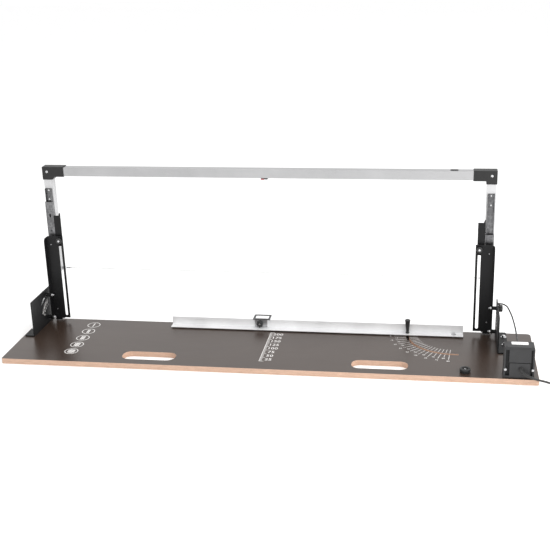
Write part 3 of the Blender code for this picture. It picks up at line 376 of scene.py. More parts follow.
def steadyNormals(mesh):
    # flat faces keep their own normal to the edge, and the rounded strips between them blend into it
    corners = [[] for _ in mesh.vertices]
    flat = []
    for face in mesh.polygons:
        straight = max(abs(c) for c in face.normal) > 0.9999
        flat.append((straight and face.area > 0.00002) or face.area > 0.001)
        for vertex in face.vertices:
            corners[vertex].append(face.index)
    normals = []
    for face in mesh.polygons:
        for vertex in face.vertices:
            if flat[face.index]:
                normals.append(face.normal.copy())
                continue
            near = [mesh.polygons[i] for i in corners[vertex] if mesh.polygons[i].normal.dot(face.normal) > 0.64]
            flats = [other for other in near if flat[other.index]]
            if flats:
                normals.append(max(flats, key=lambda other: other.normal.dot(face.normal)).normal.copy())
            else:
                normals.append(sum((other.normal * other.area for other in near), Vector()).normalized())
    mesh.normals_split_custom_set(normals)


def softened(name, work, width, segments=2, angle=40):
    # rounds a mesh's edges, keeping its flat faces flat
    mesh = meshOf(name, work, None)
    mesh.shade_smooth()
    made = linked(name + "Soft", mesh)
    if width:
        edge = made.modifiers.new("edge", "BEVEL")
        edge.width = width
        edge.segments = segments
        edge.limit_method = "ANGLE"
        edge.angle_limit = math.radians(angle)
        edge.use_clamp_overlap = True
    result = baked(made)
    steadyNormals(result)
    return result


def mergedCopy(node):
    work = bmesh.new()
    work.from_mesh(frame["nodes"][node].data)
    bmesh.ops.remove_doubles(work, verts=work.verts, dist=0.000005)
    bmesh.ops.dissolve_limit(work, angle_limit=math.radians(1), verts=work.verts, edges=work.edges)
    return work


def refine(name, node, paint, width, segments=2):
    mesh = softened(name, mergedCopy(node), width, segments)
    return newPiece(name, mesh, paints[paint], bodyOf[node], [node])


aims = {
    "+Z": Matrix.Identity(3),
    "-Z": Matrix.Rotation(math.pi, 3, "X"),
    "-Y": Matrix.Rotation(math.pi / 2, 3, "X"),
    "+Y": Matrix.Rotation(-math.pi / 2, 3, "X"),
    "+X": Matrix.Rotation(math.pi / 2, 3, "Y"),
    "-X": Matrix.Rotation(-math.pi / 2, 3, "Y"),
}


def lathe(profile, centre, aim, steps=48, wave=None):
    # profile: (radius, height) from top to bottom; wave(angle, radius) may change a radius
    work = bmesh.new()
    rings = []
    for radius, height in profile:
        if radius < 1e-7:
            rings.append([work.verts.new((0, 0, height))])
            continue
        ring = []
        for i in range(steps):
            angle = 2 * math.pi * i / steps
            reach = wave(angle, radius) if wave else radius
            ring.append(work.verts.new((reach * math.cos(angle), reach * math.sin(angle), height)))
        rings.append(ring)
    for upper, lower in zip(rings, rings[1:]):
        for i in range(steps):
            j = (i + 1) % steps
            if len(upper) == 1 and len(lower) == 1:
                continue
            if len(upper) == 1:
                work.faces.new((upper[0], lower[i], lower[j]))
            elif len(lower) == 1:
                work.faces.new((upper[i], lower[0], upper[j]))
            else:
                work.faces.new((upper[i], lower[i], lower[j], upper[j]))
    bmesh.ops.remove_doubles(work, verts=work.verts, dist=1e-7)
    bmesh.ops.recalc_face_normals(work, faces=work.faces)
    bmesh.ops.transform(work, matrix=Matrix.Translation(centre) @ aims[aim].to_4x4(), verts=work.verts)
    return work

def joined(name, works, smoothAngle=35):
    whole = bmesh.new()
    for work in works:
        part = bpy.data.meshes.new("part")
        work.to_mesh(part)
        work.free()
        whole.from_mesh(part)
        bpy.data.meshes.remove(part)
    return meshOf(name, whole, smoothAngle)


def assembled(name, works, paint, body, nodes=(), smoothAngle=35):
    # one piece from several turned or swept shapes
    return newPiece(name, joined(name, works, smoothAngle), paints[paint], body, nodes)


def workFrom(mesh):
    work = bmesh.new()
    work.from_mesh(mesh)
    bpy.data.meshes.remove(mesh)
    return work


def skin(work, rings):
    # closes a stack of equal rings, with a face over each end
    for a, b in zip(rings, rings[1:]):
        for i in range(len(a)):
            j = (i + 1) % len(a)
            work.faces.new((a[i], a[j], b[j], b[i]))
    work.faces.new(rings[-1])
    work.faces.new(list(reversed(rings[0])))
    bmesh.ops.recalc_face_normals(work, faces=work.faces)
    return work


def lobed(count, depth, beyond):
    # pulls a knob's rim in between its lobes
    def wave(angle, radius):
        return radius - depth * (0.5 - 0.5 * math.cos(count * angle)) ** 1.6 if radius > beyond else radius
    return wave


def hexed(beyond, below):
    # turns the rings between two radii into a hexagon
    def wave(angle, radius):
        if not beyond < radius < below:
            return radius
        part = (angle + math.pi / 6) % (math.pi / 3) - math.pi / 6
        return radius * math.cos(math.pi / 6) / math.cos(part)
    return wave


def knobProfile(radius, thick, bore, dish=0.0010):
    return [
        (bore, thick - dish), (bore + 0.0006, thick - dish * 0.4), (radius * 0.56, thick),
        (radius * 0.82, thick - 0.0003), (radius * 0.94, thick - 0.0012), (radius, thick - 0.0028), (radius, 0.0026),
        (radius * 0.95, 0.0012), (radius * 0.72, 0.0004), (radius * 0.60, 0), (bore, 0), (bore, thick - dish),
    ]


def thread(radius, start, length, pitch=0.0008):
    # a stack of fine ridges that stands for a screw thread
    profile = []
    count = int(length / pitch)
    for i in range(count):
        profile += [(radius, start + length - i * pitch), (radius * 0.86, start + length - (i + 0.5) * pitch)]
    return profile + [(radius, start + length - count * pitch), (0, start + length - count * pitch)]


print("helpers ready")

# cords
mainsCord = cordCurve("mainsCord", mainsRoute(), mains["radius"])
leadCord = cordCurve("lowVoltageCord", leadRoute(), lead["radius"])
for cord in (mainsCord, leadCord):
    cord.data.materials.append(paints["rubber"])
    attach(cord, "base")
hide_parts("mains_lead", "mains_coil", "mains_tail")
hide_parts("low_voltage_lead")
print("cords made")


# geometry nodes trees for what repeats
def newTree(name, inputs):
    tree = bpy.data.node_groups.new(name, "GeometryNodeTree")
    tree.interface.new_socket("Geometry", in_out="INPUT", socket_type="NodeSocketGeometry")
    for label, kind in inputs:
        tree.interface.new_socket(label, in_out="INPUT", socket_type="NodeSocket" + kind)
    tree.interface.new_socket("Geometry", in_out="OUTPUT", socket_type="NodeSocketGeometry")
    return tree, tree.nodes.new("NodeGroupInput"), tree.nodes.new("NodeGroupOutput")


def runTree(name, tree, mesh, values):
    # gives a tree its named values on a carrier mesh, and returns what it makes as a plain mesh
    made = linked(name + "Carrier", mesh)
    change = made.modifiers.new(name, "NODES")
    change.node_group = tree
    for item in tree.interface.items_tree:
        if item.item_type == "SOCKET" and item.in_out == "INPUT" and item.name in values:
            change[item.identifier] = values[item.name]
    result = baked(made)
    result.name = name
    return result


def mathNode(tree, operation, a, b=None, c=None):
    node = addNode(tree, "ShaderNodeMath", operation=operation)
    for socket, value in zip(node.inputs, (a, b, c)):
        if isinstance(value, (int, float)):
            socket.default_value = value
        elif value is not None:
            tree.links.new(value, socket)
    return node.outputs[0]


def vectorNode(tree, x, y, z):
    node = addNode(tree, "ShaderNodeCombineXYZ")
    for socket, value in zip(node.inputs, (x, y, z)):
        if isinstance(value, (int, float)):
            socket.default_value = value
        else:
            tree.links.new(value, socket)
    return node.outputs[0]


def endTree(tree, geometry, paint, groupIn, groupOut):
    real = addNode(tree, "GeometryNodeRealizeInstances")
    setPaint = addNode(tree, "GeometryNodeSetMaterial")
    tree.links.new(geometry, real.inputs[0])
    tree.links.new(real.outputs[0], setPaint.inputs["Geometry"])
    tree.links.new(groupIn.outputs[paint], setPaint.inputs["Material"])
    tree.links.new(setPaint.outputs[0], groupOut.inputs[0])


def screwTree():
    # pan heads with a cross recess, one on each point of the carrier
    tree, groupIn, groupOut = newTree("crossHeadScrews", [
        ("Head radius", "Float"), ("Head height", "Float"), ("Recess", "Float"), ("Turn", "Vector"),
        ("Paint", "Material"),
    ])
    radius, height, recess = (groupIn.outputs[k] for k in ("Head radius", "Head height", "Recess"))
    base = addNode(tree, "GeometryNodeMeshCone", in_Vertices=24)
    tree.links.new(mathNode(tree, "MULTIPLY", height, 0.55), base.inputs["Depth"])
    tree.links.new(radius, base.inputs["Radius Bottom"])
    tree.links.new(mathNode(tree, "MULTIPLY", radius, 0.93), base.inputs["Radius Top"])
    crown = addNode(tree, "GeometryNodeMeshCone", in_Vertices=24)
    tree.links.new(mathNode(tree, "MULTIPLY", height, 0.4501), crown.inputs["Depth"])
    tree.links.new(mathNode(tree, "MULTIPLY", radius, 0.93), crown.inputs["Radius Bottom"])
    tree.links.new(mathNode(tree, "MULTIPLY", radius, 0.6), crown.inputs["Radius Top"])
    raised = addNode(tree, "GeometryNodeTransform")
    tree.links.new(crown.outputs[0], raised.inputs["Geometry"])
    tree.links.new(vectorNode(tree, 0, 0, mathNode(tree, "MULTIPLY", height, 0.55)), raised.inputs["Translation"])
    head = addNode(tree, "GeometryNodeMeshBoolean", operation="UNION")
    tree.links.new(base.outputs[0], head.inputs[1])
    tree.links.new(raised.outputs[0], head.inputs[1])
    cross = addNode(tree, "GeometryNodeMeshBoolean", operation="UNION")
    for across in (0, 1):
        bar = addNode(tree, "GeometryNodeMeshCube")
        long, thin = mathNode(tree, "MULTIPLY", radius, 1.15), recess
        size = (long, thin) if across else (thin, long)
        tree.links.new(vectorNode(tree, *size, mathNode(tree, "MULTIPLY", height, 0.7)), bar.inputs["Size"])
        tree.links.new(bar.outputs[0], cross.inputs[1])
    sunk = addNode(tree, "GeometryNodeTransform")
    tree.links.new(cross.outputs[0], sunk.inputs["Geometry"])
    tree.links.new(vectorNode(tree, 0, 0, height), sunk.inputs["Translation"])
    cut = addNode(tree, "GeometryNodeMeshBoolean", operation="DIFFERENCE")
    tree.links.new(head.outputs[0], cut.inputs[0])
    tree.links.new(sunk.outputs[0], cut.inputs[1])
    place = addNode(tree, "GeometryNodeInstanceOnPoints")
    tree.links.new(groupIn.outputs["Geometry"], place.inputs["Points"])
    tree.links.new(cut.outputs[0], place.inputs["Instance"])
    tree.links.new(groupIn.outputs["Turn"], place.inputs["Rotation"])
    endTree(tree, place.outputs[0], "Paint", groupIn, groupOut)
    return tree


def tickTree():
    # flat marks set out on an arc, every n-th one long
    tree, groupIn, groupOut = newTree("arcTicks", [
        ("Count", "Int"), ("Start", "Float"), ("Step", "Float"), ("Inner", "Float"), ("Outer", "Float"),
        ("Short", "Float"), ("Width", "Float"), ("Thickness", "Float"), ("Every", "Float"), ("Paint", "Material"),
    ])
    get = groupIn.outputs
    line = addNode(tree, "GeometryNodeMeshLine")
    tree.links.new(get["Count"], line.inputs["Count"])
    line.inputs["Offset"].default_value = (0, 0, 0)
    index = addNode(tree, "GeometryNodeInputIndex").outputs[0]
    angle = mathNode(tree, "MULTIPLY_ADD", index, get["Step"], get["Start"])
    isShort = mathNode(tree, "GREATER_THAN", mathNode(tree, "MODULO", index, get["Every"]), 0.5)
    reach = mathNode(tree, "SUBTRACT", get["Outer"], get["Inner"])
    shrink = mathNode(tree, "MULTIPLY", isShort, mathNode(tree, "SUBTRACT", 1, get["Short"]))
    scale = mathNode(tree, "SUBTRACT", 1, shrink)
    middle = mathNode(tree, "MULTIPLY_ADD", mathNode(tree, "MULTIPLY", reach, scale), 0.5, get["Inner"])
    unit = addNode(tree, "GeometryNodeMeshCube")
    tree.links.new(vectorNode(tree, 1, get["Width"], get["Thickness"]), unit.inputs["Size"])
    place = addNode(tree, "GeometryNodeInstanceOnPoints")
    moved = addNode(tree, "GeometryNodeSetPosition")
    tree.links.new(line.outputs[0], moved.inputs["Geometry"])
    x = mathNode(tree, "MULTIPLY", mathNode(tree, "COSINE", angle), middle)
    y = mathNode(tree, "MULTIPLY", mathNode(tree, "SINE", angle), middle)
    tree.links.new(vectorNode(tree, x, y, 0), moved.inputs["Offset"])
    tree.links.new(moved.outputs[0], place.inputs["Points"])
    tree.links.new(unit.outputs[0], place.inputs["Instance"])
    tree.links.new(vectorNode(tree, 0, 0, angle), place.inputs["Rotation"])
    tree.links.new(vectorNode(tree, mathNode(tree, "MULTIPLY", reach, scale), 1, 1), place.inputs["Scale"])
    endTree(tree, place.outputs[0], "Paint", groupIn, groupOut)
    return tree


screws, ticks = screwTree(), tickTree()
turns = {"+Z": (0, 0, 0), "-Y": (math.pi / 2, 0, 0), "-X": (0, -math.pi / 2, 0), "+X": (0, math.pi / 2, 0)}
inkThick = 0.00008


def addScrews(name, places, aim, radius, height, body, slot, paint="bolt"):
    mesh = bpy.data.meshes.new(name)
    mesh.from_pydata([tuple(p) for p in places], [], [])
    mesh = runTree(name, screws, mesh, {
        "Head radius": radius, "Head height": height, "Recess": radius * 0.26, "Turn": turns[aim],
        "Paint": paints[paint],
    })
    return newPiece(name, mesh, paints[paint], body)


def arcTicks(name, count, start, step, inner, outer, short, width, every):
    return runTree(name, ticks, bpy.data.meshes.new(name), {
        "Count": count, "Start": math.radians(start), "Step": math.radians(step), "Inner": inner, "Outer": outer,
        "Short": short, "Width": width, "Thickness": inkThick, "Every": float(every), "Paint": paints["print"],
    })


def figures(entries, size, right=(1, 0, 0), up=(0, 1, 0)):
    # entries: (text, place). Printed figures, centred on their places, as one bmesh
    whole = bmesh.new()
    right, up = Vector(right), Vector(up)
    out = right.cross(up)
    for text, place in entries:
        data = bpy.data.curves.new("figure", "FONT")
        data.body = text
        data.size = size
        data.align_x = "CENTER"
        data.align_y = "CENTER"
        data.resolution_u = 2
        data.extrude = inkThick / 2
        mesh = baked(linked("figure", data))
        turn = Matrix((right, up, out)).transposed().to_4x4()
        mesh.transform(Matrix.Translation(place) @ turn)
        whole.from_mesh(mesh)
        bpy.data.meshes.remove(mesh)
    return whole


def addPrint(name, parts, body):
    whole = bmesh.new()
    for part, matrix in parts:
        if isinstance(part, bmesh.types.BMesh):
            mesh = bpy.data.meshes.new("part")
            part.to_mesh(mesh)
            part.free()
        else:
            mesh = part
        if matrix:
            mesh.transform(matrix)
        whole.from_mesh(mesh)
        bpy.data.meshes.remove(mesh)
    return newPiece(name, meshOf(name, whole, None), paints["print"], body)


print("trees ready")

# base board and what is printed on it
board = {"edge": 0.0007, "top": 0.015, "proud": 0.00006, "pivot": (1.2278, 0.2717)}
boardMesh = softened("boardBody", mergedCopy("base_board"), board["edge"])
boardMesh.materials.clear()
boardMesh.materials.append(paints["film"])
boardMesh.materials.append(paints["ply"])
for face in boardMesh.polygons:
    isFilm = abs(face.normal.z) > 0.92 and not 0.0005 <= face.center.z <= board["top"] - 0.0005
    face.material_index = 0 if isFilm else 1
newPiece("boardBody", boardMesh, None, "base", ["base_board"])

scale = {"inner": 0.100, "slot": (0.1236, 0.1336), "outer": 0.166, "short": 0.58, "line": 0.0010, "step": 5,
         "rows": (0.1600, 0.1760), "text": 0.0088}
printZ = board["top"] + board["proud"]
pivotAt = Matrix.Translation(plan(*board["pivot"], printZ))


def onArc(radius, degrees):
    angle = math.radians(180 + degrees)
    x, y = board["pivot"]
    return plan(x + radius * math.cos(angle), y + radius * math.sin(angle), printZ)


angleFigures = [(str(a), onArc(scale["rows"][0], a)) for a in range(10, 90, 10)]
angleFigures += [(str(a), onArc(scale["rows"][1], a)) for a in range(5, 90, 10)]
step, line = scale["step"], scale["line"]
innerTicks = arcTicks("innerTicks", 17, 180 + step, step, scale["inner"], scale["slot"][0], 1.0, line, 2)
outerTicks = arcTicks("outerTicks", 17, 180 + step, step, scale["slot"][1], scale["outer"], scale["short"], line, 2)
addPrint("angleScale", [
    (innerTicks, pivotAt), (outerTicks, pivotAt), (figures(angleFigures, scale["text"]), None),
], "base")

ruler = {"x": 0.7255, "from": 0.050, "to": 0.250, "step": 0.005, "text": 0.0200, "line": 0.0014, "long": 0.011,
         "short": 0.006, "spine": (0.0148, 0.0136)}


def barMark(x0, y0, x1, y1):
    work = bmesh.new()
    bmesh.ops.create_cube(work, size=1)
    middle = plan((x0 + x1) / 2, (y0 + y1) / 2, printZ)
    size = Vector((x1 - x0, y1 - y0, inkThick))
    bmesh.ops.transform(work, matrix=Matrix.Translation(middle) @ Matrix.Diagonal((*size, 1)), verts=work.verts)
    return work


spineLeft, spineRight = (ruler["x"] - away for away in ruler["spine"])
rulerParts = [(barMark(spineLeft, ruler["from"] - 0.0006, spineRight, ruler["to"] + 0.0006), None)]
rulerFigures = []
for i in range(round((ruler["to"] - ruler["from"]) / ruler["step"]) + 1):
    y = ruler["from"] + i * ruler["step"]
    length = ruler["short"] if i % 5 else ruler["long"]
    rulerParts.append((barMark(spineRight, y - ruler["line"] / 2, spineRight + length, y + ruler["line"] / 2), None))
    if i % 5 == 0 and i:
        rulerFigures.append((str(round(y * 1000) - 50), plan(ruler["x"] + 0.0090, y - 0.0125, printZ)))
rulerParts.append((figures(rulerFigures, ruler["text"]), None))
addPrint("depthRuler", rulerParts, "base")


def ringMark(centre, radius, width):
    work = bmesh.new()
    steps = 48
    rings = []
    for reach in (radius, radius - width):
        ring = []
        for i in range(steps):
            angle = 2 * math.pi * i / steps
            spoke = Vector((reach * math.cos(angle), reach * math.sin(angle), inkThick / 2))
            ring.append(work.verts.new(centre + spoke))
        rings.append(ring)
    for i in range(steps):
        j = (i + 1) % steps
        work.faces.new((rings[0][i], rings[0][j], rings[1][j], rings[1][i]))
    return work


marks = {"x": 0.178, "ys": (0.261, 0.212, 0.163, 0.114, 0.067), "radius": 0.019, "line": 0.0019, "bar": 0.0013,
         "pitch": 0.0042, "inside": 0.0125}
markParts = []
for i, y in enumerate(marks["ys"]):
    markParts.append((ringMark(plan(marks["x"], y, printZ), marks["radius"], marks["line"]), None))
    for j in range(i + 1):
        across = marks["pitch"] * (j - i / 2)
        tall = math.sqrt(marks["inside"]**2 - across**2)
        x = marks["x"] + across
        markParts.append((barMark(x - marks["bar"], y - tall, x + marks["bar"], y + tall), None))
addPrint("plainMarks", markParts, "base")
print("board and print made")

# brackets, with their tilt scales
plateFace = {"left": 0.0346, "right": 1.3425}
tiltScale = {"pivot": (0.27825, 0.0305), "inner": 0.0460, "outer": 0.0580, "short": 0.6, "line": 0.0008,
             "text": 0.0078, "ring": 0.0390, "step": 2.5, "every": 15, "last": 60, "proud": 0.00005}
for side, aim in (("left", 1), ("right", -1)):
    name = "bracket" + side.capitalize()
    refine(name, side + "_bracket", "steel", 0.0005)
    x = plateFace[side] + aim * tiltScale["proud"]
    y, z = tiltScale["pivot"]
    # the scale's flat plan stands up on the plate, with its first tick straight above the pivot
    turn = Matrix(((0, 0, aim), (1, 0, 0), (0, 1, 0))).to_4x4()
    stand = Matrix.Translation(plan(x, y, z)) @ turn
    entries = []
    for a in range(0, tiltScale["last"] + 1, tiltScale["every"]):
        angle, reach = math.radians(90 + a), tiltScale["ring"]
        entries.append((str(a), plan(x, y + reach * math.cos(angle), z + reach * math.sin(angle))))
    count = round(tiltScale["last"] / tiltScale["step"]) + 1
    tiltTicks = arcTicks(name + "Ticks", count, 90, tiltScale["step"], tiltScale["inner"], tiltScale["outer"],
                         tiltScale["short"], tiltScale["line"], 2)
    addPrint(name + "Scale", [
        (tiltTicks, stand), (figures(entries, tiltScale["text"], (0, aim, 0), (0, 0, 1)), None),
    ], "base")
print("brackets made")

# towers and slides
slide = {"centre": {"left": 0.0600, "right": 1.3171}, "wide": 0.0024, "narrow": 0.0020, "slotStretch": 2.4,
         "holes": {"outer": (0.03, 0.125, 0.22), "middle": (0.045, 0.163, 0.209), "inner": (0.06, 0.13)}}
towerScrew = {"y": 0.2859, "heights": (0.2548, 0.0535), "radius": 0.0018, "height": 0.0008}
slideScrew = {"y": 0.3114, "heights": (0.4115, 0.3850), "radius": 0.0034, "height": 0.0016}


def slideMember(side, member):
    # a channel with its round holes; the middle member's last hole is a slot
    node = f"{side}_slide_{member}"
    low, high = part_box(node)
    made = linked(node + "Cut", meshOf(node + "Cut", mergedCopy(node), None))
    centreX = (low[0] + high[0]) / 2
    cutters = []
    for k, up in enumerate(slide["holes"][member]):
        radius = slide["narrow"] if k % 2 else slide["wide"]
        tool = lathe([(0, 0.03), (radius, 0.03), (radius, -0.03), (0, -0.03)],
                     Vector((centreX, (low[1] + high[1]) / 2, low[2] + up)), "-Y", 20)
        if member == "middle" and k == 2:
            bmesh.ops.scale(tool, vec=(1, 1, slide["slotStretch"]), verts=tool.verts,
                            space=Matrix.Translation(-Vector((centreX, 0, low[2] + up))))
        change = made.modifiers.new("hole", "BOOLEAN")
        change.object = linked("tool", meshOf("tool", tool, None))
        change.operation = "DIFFERENCE"
        cutters.append(change.object)
    work = workFrom(baked(made))
    for cutter in cutters:
        bpy.data.objects.remove(cutter, do_unlink=True)
    bmesh.ops.dissolve_limit(work, angle_limit=math.radians(1), verts=work.verts, edges=work.edges)
    name = side + member.capitalize()
    newPiece(name + "Slide", softened(name, work, 0.00025), paints["zinc"], bodyOf[node], [node])


for side, x in slide["centre"].items():
    refine(side + "TowerSheet", side + "_tower", "steel", 0.0004)
    refine(side + "Packer", side + "_slide_packer", "steel", 0.0008)
    refine(side + "StopBar", side + "_depth_stop", "steel", 0.0004)
    for member in slide["holes"]:
        slideMember(side, member)
    addScrews(side + "TowerScrews", [plan(x, towerScrew["y"], z) for z in towerScrew["heights"]], "-Y",
              towerScrew["radius"], towerScrew["height"], "towers", "black_steel", "stop")
    addScrews(side + "SlideScrews", [plan(x, slideScrew["y"], z) for z in slideScrew["heights"]], "-Y",
              slideScrew["radius"], slideScrew["height"], "bow", "zinc_steel")
print("towers and slides made")

# bow
cornerScrew = {"y": 0.3109, "z": 0.4665, "radius": 0.0040, "height": 0.0018}
refine("topBar", "top_bar", "bow", 0.0008, 3)
for side, x in slide["centre"].items():
    refine(side + "PostTube", side + "_post", "post", 0.0008, 3)
    refine(side + "CornerBlock", side + "_corner", "corner", 0.0009, 3)
    addScrews(side + "CornerScrew", [plan(x, cornerScrew["y"], cornerScrew["z"])], "-Y", cornerScrew["radius"],
              cornerScrew["height"], "bow", "zinc_steel")
refine("hotWire", "hot_wire", "wire", 0)
refine("switchFrame", "switch_housing", "knob", 0.0006)
refine("pushButton", "switch_button", "red", 0.0008, 3)


def ovalSleeve(name, node, paint, tall=0.0017, steps=40):
    # rubber bush in the bar: a raised lip around a sunk middle
    low, high = (Vector(c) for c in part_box(node))
    high.z = low.z + tall
    middle, half = (low + high) / 2, (high - low) / 2
    work = bmesh.new()
    rings = []
    for inset, z in ((0.0, low.z), (0.0, high.z - 0.0010), (0.0006, high.z - 0.0003), (0.0014, high.z),
                     (0.0022, high.z - 0.0004), (0.0026, high.z - 0.0016)):
        radius = half.y - inset
        ring = []
        for i in range(steps):
            angle = 2 * math.pi * i / steps
            shiftX = (half.x - half.y) * (1 if math.cos(angle) > 0 else -1)
            ring.append(work.verts.new((middle.x + shiftX + radius * math.cos(angle),
                                        middle.y + radius * math.sin(angle), z)))
        rings.append(ring)
    return newPiece(name, meshOf(name, skin(work, rings)), paints[paint], bodyOf[node], [node])


ovalSleeve("barBush", "bar_grommet", "rubber")

# wire ends: a threaded eye at each post, and a tension spring with its hook on the left
wireEnd = {"y": 0.3255, "z": 0.171, "leftFace": 0.0728, "rightFace": 1.3043, "stud": 0.0014, "reach": 0.0085}
spring = {"wire": 0.0005, "radius": 0.0021, "turns": 9, "steps": 16, "from": 0.0845, "to": 0.0965}
nut = [(0.0012, 0.0046), (0.0030, 0.0046), (0.0036, 0.0040), (0.0036, 0.0008), (0.0050, 0.0008), (0.0050, 0),
       (0.0012, 0)]


def onWire(x, out=0.0, up=0.0):
    return plan(x, wireEnd["y"] + out, wireEnd["z"] + up)


def tubeWork(name, points, radius, resolution=2):
    return workFrom(baked(cordCurve(name, points, radius, resolution)))


def eye(x, direction, radius):
    points = []
    for i in range(19):
        angle = math.pi + 2 * math.pi * i / 20
        points.append(onWire(x + direction * (radius + radius * math.cos(angle)), 0, radius * math.sin(angle)))
    return points


def studAt(face, aim):
    stud = [(0, wireEnd["reach"])] + thread(wireEnd["stud"], 0.0001, wireEnd["reach"] - 0.0001)
    return [lathe(nut, onWire(face), aim, 36, hexed(0.0029, 0.0045)), lathe(stud, onWire(face), aim, 14)]


coil = []
for i in range(spring["turns"] * spring["steps"] + 1):
    share = i / (spring["turns"] * spring["steps"])
    angle = 2 * math.pi * spring["turns"] * share
    x = spring["from"] + (spring["to"] - spring["from"]) * share
    coil.append(onWire(x, spring["radius"] * math.cos(angle), spring["radius"] * math.sin(angle)))
hook = [onWire(spring["to"], 0, 0.0020), *eye(0.0972, 1, 0.0020), onWire(0.1019)]
assembled("wireTensioner", [
    *studAt(wireEnd["leftFace"], "+X"), tubeWork("eyeLeft", eye(0.0808, 1, 0.0020), 0.0006),
    tubeWork("spring", coil, spring["wire"], 1), tubeWork("hook", hook, spring["wire"]),
], "bolt", "bow", ["left_wire_holder"])
assembled("wireAnchor", [
    *studAt(wireEnd["rightFace"], "-X"), tubeWork("eyeRight", eye(1.2957, -1, 0.0024), 0.0007),
], "bolt", "bow", ["right_wire_holder"])
print("bow made")

# knobs, bolts and spacers
tiltKnob = {"radius": 0.0105, "thick": 0.012, "lift": 0.0018, "screw": 0.0030, "lobes": 8, "dip": 0.0021}
pivotBolt = {"head": 0.0050, "height": 0.0042, "shank": 0.0030}
hardware = {"towerFace": {"left": 0.0451, "right": 1.3320}, "plate": 0.0030, "sheet": 0.0023, "lockZ": 0.1000}
washer = [(0.0030, 0.0016), (0.0053, 0.0016), (0.0056, 0.0013), (0.0056, 0.0005), (0.0053, 0.0003), (0.0030, 0.0003)]
lockNut = [(0.0031, 0.0), (0.0046, 0.0), (0.0050, -0.0005), (0.0050, -0.0044), (0.0046, -0.0049), (0.0031, -0.0049),
           (0.0031, 0.0)]
collar = [(0.0033, 0.0099), (0.0051, 0.0099), (0.0055, 0.0095), (0.0055, 0.0004), (0.0051, 0.0), (0.0033, 0.0),
          (0.0033, 0.0099)]
pivotY, pivotZ = tiltScale["pivot"]
for side, aim, sign in (("left", "-X", -1), ("right", "+X", 1)):
    outerFace = plateFace[side] + sign * hardware["plate"]
    towerFace = hardware["towerFace"][side]
    reach = abs(towerFace - outerFace) + hardware["sheet"]
    lockAt = plan(outerFace, pivotY, hardware["lockZ"])
    screw, shank = tiltKnob["screw"], pivotBolt["shank"]
    assembled(side + "TiltKnob", [
        lathe(knobProfile(tiltKnob["radius"], tiltKnob["thick"], screw + 0.0002),
              lockAt + Vector((sign * tiltKnob["lift"], 0, 0)), aim, 96,
              lobed(tiltKnob["lobes"], tiltKnob["dip"], 0.0085)),
    ], "knob", f"tilt_knob_{side}", [side + "_tilt_knob"])
    rod = [(0, 0.0125), (0.0024, 0.0125), (screw, 0.0119), (screw, 0.0003)]
    rod += thread(screw, -reach - 0.0095, reach + 0.0098)
    assembled(side + "TiltScrew", [lathe(rod, lockAt, aim, 24), lathe(washer, lockAt, aim, 32)], "bolt",
              f"tilt_knob_{side}")
    boltAt = plan(outerFace, pivotY, pivotZ)
    head, tall = pivotBolt["head"], pivotBolt["height"]
    bolt = [(0, tall), (head * 0.72, tall), (head * 0.86, tall - 0.0006), (head * 0.98, tall - 0.0008),
            (head * 0.98, 0.0009), (head * 1.02, 0.0008), (head * 1.02, 0.0003), (shank, 0.0003),
            (shank, -reach + 0.0001)] + thread(shank, -reach - 0.0090, 0.0090)
    boltNut = [(shank, -reach), (0.0046, -reach), (0.0050, -reach - 0.0006), (0.0050, -reach - 0.0044),
               (0.0046, -reach - 0.0050), (shank, -reach - 0.0050)]
    assembled(side + "PivotBolt", [
        lathe(bolt, boltAt, aim, 36, hexed(head * 0.9, head * 1.0)),
        lathe(boltNut, boltAt, aim, 36, hexed(0.0044, 0.006)),
    ], "bolt", "base", [side + "_pivot_bolt"])
    nutFace = plan(towerFace, pivotY, hardware["lockZ"]) - Vector((sign * hardware["sheet"], 0, 0))
    assembled(side + "LockNut", [lathe(lockNut, nutFace, aim, 36, hexed(0.0044, 0.006))], "bolt",
              bodyOf[side + "_lock_nut"], [side + "_lock_nut"])
    for place in ("Pivot", "Lock"):
        node = f"{side}_{place.lower()}_spacer"
        low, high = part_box(node)
        start = Vector((low[0] if sign > 0 else high[0], (low[1] + high[1]) / 2, (low[2] + high[2]) / 2))
        assembled(side + place + "Spacer", [lathe(collar, start, aim, 32)], "steel", bodyOf[node],
                  [node])

footBolt = {"washer": 0.0080, "head": 0.0058, "height": 0.0050, "overTop": 0.0065}
w, h, t = footBolt["washer"], footBolt["head"], footBolt["height"]
footWasher = [(0, 0.0012), (w - 0.0004, 0.0012), (w, 0.0008), (w, 0.0003), (w - 0.0003, 0), (0, 0)]
footHead = [(0, t + 0.0014), (0.0024, t + 0.0013), (0.0038, t + 0.0008), (0.0046, t), (h * 0.93, t - 0.0006),
            (h, t - 0.0011), (h, 0.0013), (h * 0.94, 0.0012), (0, 0.0012)]
for side in ("left", "right"):
    for place in ("front", "rear"):
        node = f"{side}_foot_bolt_{place}"
        low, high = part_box(node)
        at = Vector(((low[0] + high[0]) / 2, (low[1] + high[1]) / 2, high[2] - footBolt["overTop"]))
        assembled(side + place.capitalize() + "FootBolt", [
            lathe(footWasher, at, "+Z", 40), lathe(footHead, at, "+Z", 36, hexed(h * 0.9, h * 1.01)),
        ], "bolt", "base", [node])

